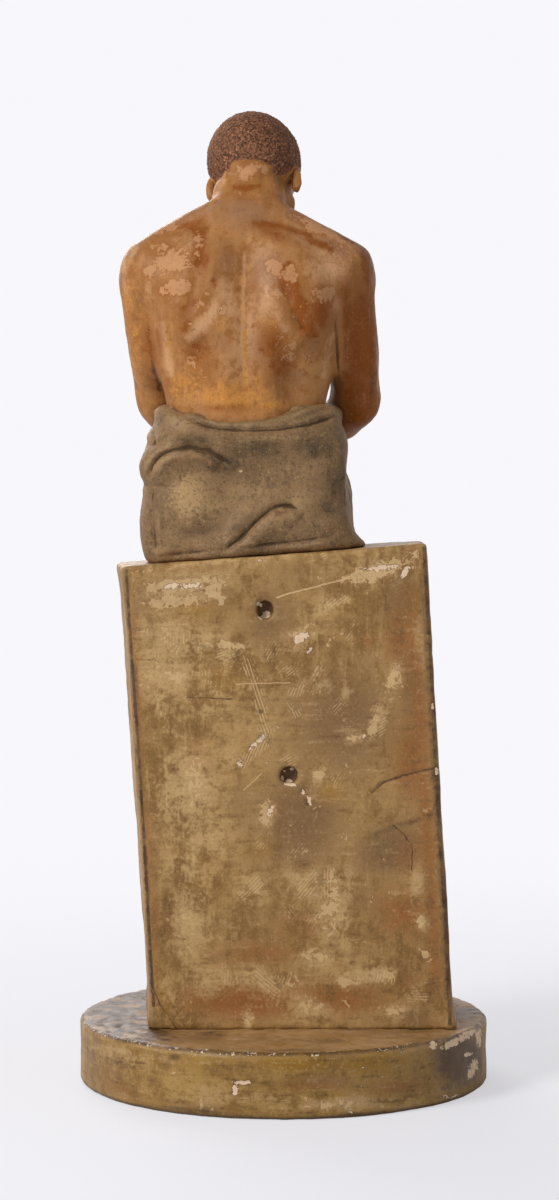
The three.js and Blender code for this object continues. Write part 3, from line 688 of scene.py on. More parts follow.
def sculptTorso(clay):
    # the back, in the photograph's columns and rows
    clay.draw(photoSide, [
        ([(247, 214), (246, 247), (245, 300), (246, 350), (247, 400)], -0.8, 5),  # spine
        ([(203, 238), (201, 262), (193, 292), (181, 326)], -1.5, 6),  # edges of the shoulder blades
        ([(280, 280), (290, 305), (306, 336)], -1.7, 6),
        ([(228, 300), (206, 326), (182, 350)], 1.1, 10),  # muscles below the blades
        ([(266, 296), (284, 326), (304, 350)], 1.0, 9),
        ([(226, 350), (226, 400)], 1.0, 9),  # muscles beside the spine
        ([(268, 350), (268, 400)], 1.0, 9),
        ([(213, 216), (176, 232), (146, 252)], -1.0, 6),  # grooves above the blades
        ([(290, 222), (330, 240), (356, 262)], -1.0, 6),
        ([(232, 186), (247, 189), (263, 186)], -0.5, 1.8),  # creases of the neck
        ([(236, 192), (247, 194), (258, 192)], -0.35, 1.8),
        ([(234, 172), (232, 196), (222, 214)], -0.8, 4),  # sides of the neck
        ([(262, 172), (266, 196), (276, 214)], -0.8, 4),
    ], [
        (173, 268, 30, 36, 12, 2.0), (326, 270, 28, 36, -10, 2.2), (247, 226, 14, 12, 0, 0.8),
        (222, 205, 12, 22, 20, 0.8), (274, 205, 12, 22, -20, 0.8),
        (206, 385, 9, 7, 0, -0.6), (287, 383, 9, 7, 0, -0.6),
    ])
    # the chest and belly, left and right of the man's middle
    lines = [
        ([(0, 184), (0, 134)], -1.2, 4.6),  # breastbone
        ([(0, 134), (0, 90)], -0.7, 3.6),  # middle of the belly, then two folds across it
        ([(-34, 92), (0, 86), (34, 92)], -0.6, 3),
        ([(-26, 104), (0, 99), (26, 104)], -0.4, 3),
    ] + mirrored([
        ([(4, 137), (22, 130), (42, 136), (53, 150)], -1.3, 5.5),  # under the chest
        ([(6, 188), (26, 194), (50, 197)], 1.3, 2.6),  # collarbones, then the hollows below them
        ([(8, 182), (28, 187), (50, 190)], -0.9, 3.0),
        ([(19, 126), (20, 108), (17, 92)], -0.5, 3.5),  # sides of the belly, then the ribs
    ] + [([(30, z + 2), (46, z + 9)], -0.35, 2.4) for z in (124, 115, 106)])
    spots = [(0, 101, 1.9, 2.2, 0, -2.2), (0, 101, 4, 4, 0, -0.6)]
    for s in (-1, 1):
        spots.append((s * 28, 156, 20, 15, 0, 1.6))
        spots += [(s * 33, 142, 1.6, 1.6, 0, 0.9), (s * 33, 142, 4, 4, 0, 0.25)]
    clay.draw(manFront, lines, spots)
    for side in (manLeft, manRight):
        clay.draw(side, [
            ([(12, 150), (-2, 122), (-6, 104)], -0.8, 4),
            ([(-18, 160), (-16, 130)], -0.6, 4),
        ], [(6, 170, 12, 18, 0, 1.0), (14, 130, 7, 16, 0, 0.9)])


def sculptHands(clay):
    for hand in (hands["left"], hands["right"]):
        back = flatSide(0, 1, (0, 0, 1), hand["origin"], hand["axes"])
        lines, spots = [], []
        for across, root, length, thick in hands["fingers"]:
            x = hand["thumb"] * across
            for share in (0.42, 0.73):
                knuckle = root + length * share
                spots.append((x * 1.06, knuckle, 2.2, 1.8, 0, 0.35))
                lines.append(([(x * 1.06 - 2, knuckle), (x * 1.06 + 2, knuckle)], -0.3, 0.45))
            tip = root + length - 2.4
            spots.append((x * 1.09, tip, 1.9, 2.2, 0, -0.35))
            lines.append(([
                (x * 1.09 - 1.7, tip + 1), (x * 1.09 - 1.6, tip - 1.4), (x * 1.09, tip - 2.4),
                (x * 1.09 + 1.6, tip - 1.4), (x * 1.09 + 1.7, tip + 1),
            ], -0.4, 0.4))
            lines.append(([(x * 0.5, 6), (x * 0.95, root - 4)], 0.5, 0.9))
        for (a, rootA, _, _), (b, rootB, _, _) in zip(hands["fingers"][:-1], hands["fingers"][1:]):
            x = hand["thumb"] * (a + b) / 2
            root = (rootA + rootB) / 2
            lines.append(([(x, root + 1), (x * 1.08, root + 22)], -1.2, 0.6))
            lines.append(([(x * 0.6, root - 14), (x, root)], -0.5, 1.2))
        clay.draw(back, lines, spots)


skinLook = {
    "base": ink(172, 121, 70), "deep": ink(146, 94, 46), "pale": ink(204, 159, 118),
    "grey": ink(150, 108, 76), "warm": ink(130, 68, 8), "gold": ink(190, 130, 60),
    "worn": ink(187, 138, 97), "dim": ink(58, 30, 10), "bare": ink(228, 190, 146),
    "fleck": ink(220, 152, 74),
    # paint, from, to, then how much the clouds, mottling, grain and brush strokes break it up
    "soft": [
        ("grey", 0.2, 0.9, 0.9, 0.8, 0.3, 0.2), ("pale", 0.15, 1.1, 0.8, 1.0, 0.4, 0.3),
        ("gold", 0.2, 0.9, 0.8, 1.3, 0.7, 0.3), ("warm", 0.1, 0.75, 0.8, 1.4, 0.7, 0.3),
    ],
    "cloud": 26, "mottle": 8, "lying": (0.2, 0.6), "strokes": 0.14, "tide": 0.45, "comb": 0.7,
    "specks": 0.22, "flecks": 0.7, "rub": 0.35, "rough": 0.5, "wear": 0.6, "broken": 0.8, "grain": 0.16,
    "shine": 0.2, "bump": 0.3,
}
hairLook = {"dark": ink(66, 40, 26), "mid": ink(136, 92, 66), "tip": ink(196, 144, 110)}
# Marks in the photograph's columns and rows. A spot stands under its strength as column, row,
# width, height and, where it leans, an angle; a line is a path, a strength and a width.
# What is away from the photograph gets noise of a size and an amount. The depth is where a
# hollow turns dark, in millimetres, and between the clean heights none does.
skinMarks = {
    "depth": 0.8,
    "away": {
        "worn": (24, 0.36), "warm": (24, 0.5), "gold": (21, 0.45), "grey": (26, 0.55), "pale": (19, 0.5),
    },
    # paler paint, and painted highlight on the lit ridges below the shoulder blades and on the shoulders
    "pale": {
        0.7: [(228, 305, 16, 24, 30), (275, 305, 12, 26, -20)],
        0.6: [
            (225, 290, 20, 24), (264, 300, 16, 40), (310, 240, 26, 8, 24), (335, 305, 12, 14),
            (247, 172, 24, 10),
        ],
        0.5: [
            (262, 250, 20, 30), (300, 226, 24, 8, 24), (150, 292, 14, 14), (176, 226, 24, 7, -28),
            (247, 330, 22, 60),
        ],
        0.4: [(200, 350, 22, 14, -30), (236, 365, 30, 26)],
        0.9: [(330, 268, 26, 24)], 0.55: [(186, 250, 30, 28)],
    },
    # painted highlight along the lit ridges of the back, flanks and neck, and paler paint down the spine
    "paleLines": [
        ([(228, 290), (212, 316), (186, 344)], 0.75, 10), ([(264, 284), (274, 312), (288, 334)], 0.7, 8),
        ([(245, 250), (243, 300), (243, 345), (246, 388)], 0.9, 3.2),
        ([(138, 245), (126, 270), (128, 300)], 0.6, 5), ([(160, 320), (166, 350), (172, 380)], 0.65, 6),
        ([(334, 330), (328, 356), (322, 380)], 0.6, 5), ([(226, 166), (224, 184), (214, 200)], 0.6, 3.5),
    ],
    "grey": {
        0.8: [(247, 214, 36, 22), (335, 252, 22, 18), (268, 272, 26, 30)],
        0.6: [(226, 262, 14, 34), (262, 350, 22, 34)],
        0.5: [(300, 380, 20, 14), (312, 345, 14, 24), (222, 345, 14, 24)],
        0.4: [(247, 178, 26, 12), (168, 310, 14, 18)],
    },
    # painted shade: darker bands along the tops of both shoulders
    "greyLines": [
        ([(126, 262), (140, 243), (165, 228), (200, 214), (226, 203)], 0.8, 5),
        ([(282, 212), (320, 228), (352, 242), (368, 262), (374, 290)], 0.9, 6),
    ],
    # red-brown paint, and painted shade in the grooves by the shoulder blades, in the neck crease, at the
    # armpit and on the darker right arm
    "warm": {
        1.1: [(364, 340, 18, 60), (362, 402, 18, 34)],
        0.78: [
            (201, 234, 8, 14, 20), (288, 290, 7, 24, -28), (322, 312, 14, 26), (348, 316, 8, 44, -4),
            (247, 188, 16, 4), (367, 270, 7, 26),
        ],
        0.72: [(272, 345, 15, 24), (318, 244, 28, 5, 24)],
        0.65: [(194, 254, 4, 20, 14), (188, 312, 6, 24, 24), (196, 224, 20, 5, -30), (340, 232, 22, 5, 28)],
        0.6: [(150, 350, 9, 40, -10), (205, 262, 6, 22, 10)],
        0.59: [(280, 366, 16, 20), (270, 232, 22, 9, 24), (198, 352, 16, 22)],
        0.45: [(225, 408, 36, 5), (214, 280, 5, 20, 10)],
        0.98: [(304, 318, 12, 26, -24)], 0.7: [(352, 362, 12, 60)], 0.5: [(343, 292, 10, 24)],
        0.47: [(160, 340, 6, 26)], 0.39: [(258, 290, 4, 30)],
    },
    # painted shade in red-brown along the edges of the shoulder blades, the grooves above them and the neck
    # crease
    "warmLines": [
        ([(192, 226), (202, 240), (201, 258), (194, 268)], 0.9, 5),
        ([(284, 262), (294, 288), (306, 316), (312, 340)], 0.9, 7),
        ([(250, 224), (282, 228), (314, 238)], 0.7, 4), ([(182, 306), (188, 318), (184, 334)], 0.7, 5),
        ([(232, 188), (246, 191), (262, 187)], 0.8, 3), ([(160, 232), (184, 226), (204, 224)], 0.6, 4),
    ],
    "gold": {
        0.6: [
            (197, 364, 18, 22), (138, 336, 9, 34, 8), (273, 325, 9, 18), (134, 368, 12, 28),
            (128, 300, 8, 28), (272, 405, 24, 8),
        ],
        0.5: [
            (288, 346, 14, 18), (248, 268, 5, 8), (256, 385, 8, 18), (298, 322, 12, 16), (222, 322, 7, 14),
        ],
        0.8: [(226, 396, 50, 16)], 0.7: [(186, 385, 24, 18)], 0.4: [(170, 340, 8, 24)],
    },
    "goldLines": [([(243, 262), (243, 300), (244, 345), (246, 396)], 0.62, 3.4)],
    "worn": {
        0.86: [(176, 289, 25, 11, -8), (272, 267, 13, 10, 30), (323, 295, 15, 11)],
        0.8: [(172, 258, 29, 18, 10), (289, 276, 13, 11, 10)],
        0.7: [(199, 246, 9, 16, 10), (222, 310, 7, 14, 20)],
        0.5: [(240, 196, 12, 10), (205, 300, 9, 20, 30), (278, 300, 8, 24, -24)],
        0.48: [(290, 350, 23, 20), (200, 366, 21, 22)],
        0.42: [(224, 300, 14, 12), (280, 330, 12, 25, -20)],
        0.78: [(316, 228, 34, 8, 25)], 0.74: [(250, 173, 23, 13)], 0.67: [(340, 248, 8, 8)],
        0.66: [(150, 272, 14, 12)], 0.62: [(172, 228, 34, 7, -28)], 0.45: [(186, 330, 8, 18, 24)],
        0.4: [(330, 262, 30, 16)], 0.36: [(128, 330, 9, 27)],
    },
    # painted shade: dark strokes in the armpit creases, the grooves of the back, the neck crease and down the
    # right arm's outer side
    "dim": {
        0.5: [(150, 338, 2, 24, -8), (279, 180, 5, 12), (372, 380, 6, 44), (341, 236, 22, 2.5, 30)],
        0.4: [(141, 356, 7, 26, -8), (294, 300, 3, 18, -28)],
        0.3: [(128, 372, 5, 20), (270, 232, 14, 5, 24), (206, 250, 3, 18, 10)],
        0.8: [(337, 350, 2.6, 44, -4)], 0.7: [(156, 374, 3, 24, -14)], 0.55: [(250, 187, 14, 1.6)],
        0.35: [(198, 226, 12, 3, -30)],
    },
    "bare": {
        0.7: [(192, 330, 2, 2), (277, 254, 2, 2)],
        0.6: [(270, 330, 1.4, 5), (286, 358, 3, 2)],
        0.65: [(293, 316, 1.6, 8, -24)], 0.58: [(221, 311, 2, 5, 20)],
    },
}


def hairPaint(start, where, colour, mottle, fine):
    curls = start.noise(where, 1.5, 5, 0.72) - 0.5
    low = start.painted("lock")
    hairs = (curls + fine * 0.5 + low * 0.12).step(-0.12, 0.12).between(hairLook["dark"], hairLook["mid"])
    hairs = (curls * 1.3 + mottle * 0.7 + low * 0.16).step(0.12, 0.3).between(hairs, hairLook["tip"])
    return (start.painted("hair") + mottle * 1.1 + fine * 1.1).step(0.36, 0.6).between(colour, hairs)


skinNodes = {
    "welded": ["torso", "head", "left_arm", "right_arm"],
    "modelled": ["left_hand", "right_hand"],
}


def makeSkin():
    shape = weld(skinNodes["welded"], overSeams)
    for name in ("left", "right"):
        addHand(shape, hands[name])
    piece = place("manSkin", shape, voxel=1.15)
    # the face and the hands get a finer mesh
    refine(piece, lambda p: (p.z > 556 and p.y < 8) or (p.y < -84 and p.z < 430))
    clay = Clay(piece)
    local = (clay.points - head["at"]) @ head["turn"]
    ears = smooth(24, 27, np.abs(local[:, 0])) * smooth(-6, -9, local[:, 2]) * smooth(-4, 0, local[:, 1])
    fingers = smooth(-78, -90, clay.points[:, 1]) * smooth(440, 430, clay.points[:, 2])
    soft = 1 - np.maximum(ears * smooth(head["foot"], 560, clay.points[:, 2]), fingers)
    clay.ease(8)
    clay.ease(62, soft)
    clay.press(0.35 * soft + 0.1)
    sculptTorso(clay)
    sculptFace(clay)
    sculptEars(clay)
    sculptHands(clay)
    clay.ease(2)
    covered = sculptHair(clay)
    clay.press((0.22 * clay.grain(9, 1, 3) + 0.08 * clay.grain(2.5, 2)) * (1 - covered))
    # the hair is more worn towards the nape
    clay.paint("lock", smooth(600, 575, clay.points[:, 2]))
    paintAll(clay, skinMarks, 1)
    nodes = skinNodes["welded"] + skinNodes["modelled"]
    finished(piece, nodes, agedPaint("paintedSkin", skinLook, hairPaint))


makeSkin()

clothLook = {
    "base": ink(144, 113, 78), "deep": ink(114, 88, 58), "pale": ink(170, 140, 98), "grey": ink(86, 67, 44),
    "warm": ink(122, 86, 52), "gold": ink(174, 142, 98), "worn": ink(164, 136, 102), "dim": ink(52, 37, 20),
    "bare": ink(208, 178, 142), "fleck": ink(184, 153, 112),
    "soft": [
        ("grey", 0.2, 0.9, 0.6, 0.7, 0.5, 0.2), ("pale", 0.2, 0.9, 0.5, 0.6, 0.5, 0.2),
        ("gold", 0.2, 0.9, 0.5, 0.6, 0.6, 0.2), ("warm", 0.3, 0.9, 0.6, 0.7, 0.4, 0.2),
    ],
    "cloud": 34, "mottle": 7, "lying": (0.5, 0.6), "strokes": 0.2, "tide": 0.2, "comb": 0.6,
    "specks": 0.75, "flecks": 0.6, "rub": 0.4, "rough": 0.6, "wear": 0.6, "broken": 1, "grain": 0.7,
    "shine": 0.28, "bump": 0.6,
}
clothMarks = {
    "depth": 0.8,
    "away": {
        "pale": (24, 0.6), "grey": (28, 0.62), "gold": (30, 0.5), "warm": (26, 0.35), "worn": (14, 0.25),
    },
    # paler paint, and painted highlight on the raised folds
    "pale": {
        0.5: [
            (302, 500, 26, 12, -10), (245, 490, 30, 14, -10), (180, 420, 24, 10, 16),
            (280, 524, 24, 10, -20),
        ],
        0.4: [(160, 550, 16, 8), (250, 436, 40, 6)],
        0.6: [(190, 498, 26, 26)],
    },
    "grey": {
        0.9: [(222, 462, 30, 12, 10), (318, 445, 34, 18)],
        0.8: [(336, 480, 16, 34), (256, 450, 40, 14)],
        0.7: [(196, 440, 30, 6), (330, 505, 18, 16)],
        0.6: [(240, 525, 22, 8, -40), (200, 530, 30, 8, -6)],
        0.5: [(156, 500, 8, 30), (160, 420, 8, 12)],
        0.4: [(340, 400, 8, 12)], 0.3: [(225, 400, 80, 4)],
    },
    "warm": {
        0.6: [(175, 552, 30, 5, -8), (160, 458, 5, 14, 20)],
        0.7: [(330, 530, 24, 7, -6)], 0.4: [(152, 430, 5, 20)],
    },
    "warmLines": [
        ([(156, 466), (190, 455), (226, 468)], 0.8, 4), ([(246, 540), (270, 514), (290, 510)], 0.8, 4),
        ([(170, 410), (220, 436), (300, 432)], 0.6, 4),
    ],
    "gold": {
        0.5: [(205, 505, 26, 14), (172, 402, 14, 12, 20), (270, 438, 60, 5, -2), (240, 470, 6, 4)],
        0.4: [(170, 530, 14, 14), (270, 530, 30, 6, -20)],
        1: [(188, 498, 20, 26)],
    },
    "worn": {0.4: [(330, 400, 14, 8, -20)], 0.3: [(240, 540, 70, 3, -6)]},
    # painted shade: the dim spots lie in the grooves of the folds, along the hem and down the cloth's right
    # side
    "dim": {
        0.5: [(240, 537, 20, 3, -40), (344, 490, 5, 50)],
        0.36: [(322, 446, 30, 10, 4)], 0.3: [(220, 450, 60, 2, 2)],
    },
    # painted shade along the grooves of the folds and under the hem
    "dimLines": [
        ([(152, 462), (166, 452), (190, 449), (214, 456), (232, 464)], 0.6, 3),
        ([(206, 420), (250, 428), (300, 424), (330, 414)], 0.5, 3),
        ([(232, 544), (254, 522), (274, 506), (294, 504)], 0.6, 2.5),
        ([(150, 556), (240, 548), (330, 540), (352, 534)], 0.5, 2.5),
    ],
    "bare": {0.7: [(241, 471, 2.4, 2.4)], 0.6: [(171, 541, 2, 1.6)], 0.45: [(278, 440, 3, 2)]},
}

# folds of the back, drawn in the photograph's columns and rows
clothFolds = {
    "lines": [
        ([(146, 484), (153, 466), (160, 456), (173, 448), (191, 446), (208, 449), (222, 456),
          (240, 466)], -3.4, 2.6),
        ([(156, 474), (166, 463), (178, 458), (193, 457), (208, 460), (222, 468)], 1.6, 5),
        ([(152, 446), (170, 438), (195, 437), (220, 443), (240, 452)], 1.2, 5),
        ([(218, 553), (228, 547), (240, 539), (249, 530), (259, 519), (270, 509), (281, 504),
          (292, 505), (305, 511)], -3.7, 3),
        ([(238, 551), (252, 542), (264, 531), (276, 520), (290, 516), (304, 520)], 1.9, 6),
        ([(232, 532), (246, 516), (260, 503), (274, 495), (290, 494)], 1.2, 6),
        ([(182, 417), (205, 425), (222, 429), (249, 431), (280, 430), (308, 425), (330, 418),
          (347, 409)], -2.3, 2),
        ([(176, 410), (205, 421), (230, 424), (262, 423), (290, 417), (320, 404)], 0.8, 3),
        ([(284, 424), (306, 416), (330, 405)], -1.2, 1.5),
        ([(292, 412), (312, 404), (330, 394)], -1.1, 1.5), ([(300, 402), (318, 394)], -0.8, 1.4),
        ([(318, 398), (336, 400), (346, 410)], 0.9, 3), ([(172, 408), (162, 398), (154, 404)], -1.3, 2),
        ([(151, 408), (153, 428), (153, 446)], -1.8, 2.2), ([(160, 412), (163, 430), (161, 444)], 0.8, 4),
        ([(153, 486), (151, 500), (153, 525), (155, 556)], -2.2, 2.6),
        ([(160, 490), (160, 520), (162, 545)], 0.8, 4), ([(166, 557), (190, 553), (222, 549)], -1.2, 1.8),
        ([(232, 549), (262, 545), (300, 541), (342, 535)], -1.4, 1.6),
        ([(250, 552), (290, 547), (330, 541)], 0.7, 2.5), ([(295, 523), (302, 517), (308, 525)], -0.9, 1.5),
        ([(312, 470), (306, 500), (314, 522)], 0.8, 9), ([(338, 430), (341, 470), (340, 525)], 1, 5),
        ([(258, 470), (290, 462), (326, 462)], -0.6, 5),
    ],
    "spots": [
        (186, 498, 19, 20, 0, 1.6), (300, 480, 30, 14, 0, 1), (250, 480, 16, 10, 0, -0.6),
        (235, 505, 20, 12, -30, 0.6),
    ],
}


def makeCloth():
    nodes = ["drapery_hips", "drapery_lap", "drapery_fall"]
    piece = place("hipCloth", weld(nodes, overSeams), voxel=1.2)
    clay = Clay(piece)
    clay.ease(46)
    clay.press(np.full(clay.count, 0.35))
    clay.draw(photoSide, clothFolds["lines"], clothFolds["spots"])
    clay.draw(manLeft, [([(70, 74), (40, 73), (10, 78)], -1.4, 3), ([(70, 46), (40, 47), (0, 52)], -1.4, 3)],
              [(40, 60, 30, 7, 0, 2.2), (40, 24, 26, 16, 0, 1.2)])
    # folds from the hips to the knees, and pleats in the hanging part
    clay.draw(manFront, mirrored([
        ([(8, -70), (14, -20), (12, 20)], -1.3, 2.4), ([(22, -80), (25, -20), (20, 10)], -1.3, 2.4),
        ([(36, -80), (38, -30), (42, 12)], -1.2, 2.4), ([(48, -82), (46, -40), (52, 6)], -1.2, 2.4),
        ([(15, 30), (30, 22), (48, 26)], -0.9, 2.6), ([(12, 16), (28, 4), (46, 8)], -0.9, 2.6),
    ]))
    clay.draw(manTop, mirrored([
        ([(60, -20), (44, -50), (34, -100)], -1.3, 3), ([(28, -40), (22, -70), (30, -112)], -1.3, 3),
        ([(52, -30), (52, -60), (50, -100)], -1.0, 3), ([(8, -50), (12, -80), (14, -110)], -1.0, 3),
    ]))
    for side in (manLeft, manRight):
        clay.draw(side, [
            ([(-20, 60), (-40, 46), (-70, 40), (-110, 44)], -1.4, 3),
            ([(-10, 30), (-40, 24), (-80, 20), (-112, 14)], -1.3, 3),
            ([(20, 80), (22, 50), (10, 10)], -1.2, 3), ([(0, 74), (-4, 46), (-12, 16)], -1.0, 3),
            ([(-118, 10), (-112, -30), (-108, -80)], -1.2, 3), ([(-84, 4), (-86, -30), (-88, -80)], -1.2, 3),
        ])
    clay.ease(2)
    clay.press(0.5 * clay.grain(13, 4) + 0.16 * clay.grain(3.2, 6))
    paintAll(clay, clothMarks, 11)
    finished(piece, nodes, agedPaint("paintedCloth", clothLook))


makeCloth()

# each toe: how far across from the foot's middle, length, thickness
toes = [(-9.5, 15, 4.6), (-2.6, 15, 3.4), (2.8, 13, 3.2), (7.6, 10.5, 3), (11.6, 7.5, 2.9)]


def makeLegs():
    legs = [weld([side + "_shin", side + "_foot"], overSeams) for side in ("left", "right")]
    # the feet almost touch, so each leg is remeshed by itself
    piece, other = place("barefootLegs", legs[0], voxel=0.8), place("legTwo", legs[1], voxel=0.8)
    shape = bmesh.new()
    shape.from_mesh(piece.data)
    shape.from_mesh(other.data)
    shape.to_mesh(piece.data)
    shape.free()
    bpy.data.objects.remove(other)
    clay = Clay(piece)
    upper = smooth(212, 226, clay.points[:, 2])
    clay.ease(7)
    clay.ease(30, upper)
    clay.press(0.15 + 0.25 * upper)
    lines, spots = [], []
    for s in (-1, 1):
        for (a, _, _), (b, length, _) in zip(toes[:-1], toes[1:]):
            x = s * (30 + (a + b) / 2)
            lines.append(([(x - s * 0.4, -120), (x + s * 0.6, -126 - length)], -1.3, 0.6))
        for a, length, thick in toes:
            x, y = s * (30 + a + 0.5), -119 - length + 0.5
            w = thick * 0.55
            spots.append((x, y, w, thick * 0.5, 0, -0.45))
            nail = [(x - w, y), (x - w, y + 1.6), (x, y + 2.6), (x + w, y + 1.6), (x + w, y)]
            lines.append((nail, -0.4, 0.45))
            lines.append(([(s * (30 + a * 0.9), -116), (s * (27 + a * 0.3), -98)], 0.45, 1.1))
    clay.draw(manTop, lines, spots)
    for side in (manLeft, manRight):
        ankle = [([(-70, -132), (-75, -120), (-78, -108)], 0.5, 2.4), ([(-76, -136), (-82, -122)], -0.6, 2.4)]
        clay.draw(side, ankle, [(-84, -121, 4, 4, 0, 1.5)])
    clay.draw(manFront, mirrored([([(26, -118), (28, -98), (31, -60)], 0.8, 3)]))
    clay.ease(1)
    clay.press(0.12 * clay.grain(5, 7))
    paintAll(clay, skinMarks | {"depth": 0.4}, 21)
    nodes = ["left_shin", "right_shin", "left_foot", "right_foot"]
    finished(piece, nodes, agedPaint("paintedLegs", skinLook))


makeLegs()

blockLook = {
    "base": ink(172, 137, 86), "deep": ink(128, 94, 48), "pale": ink(196, 164, 114), "grey": ink(122, 91, 56),
    "warm": ink(138, 82, 32), "gold": ink(158, 116, 46), "worn": ink(200, 168, 122), "dim": ink(66, 43, 22),
    "bare": ink(224, 196, 166), "fleck": ink(192, 158, 106),
    "soft": [
        ("grey", 0.15, 0.95, 0.7, 0.9, 0.3, 0.3), ("gold", 0.2, 0.95, 0.7, 0.9, 0.3, 0.5),
        ("warm", 0.15, 0.95, 0.8, 1.0, 0.3, 0.4), ("pale", 0.1, 1.1, 1.0, 1.8, 1.0, 0.8),
    ],
    "cloud": 46, "mottle": 9, "lying": (0.5, 2.0), "strokes": 0.42, "tide": 0.3, "comb": 0.7,
    "specks": 0.16, "flecks": 0.5, "rub": 0.1, "rough": 0.52, "wear": 0.56, "broken": 1.3, "grain": 0.3,
    "shine": 0.32, "bump": 0.45,
}
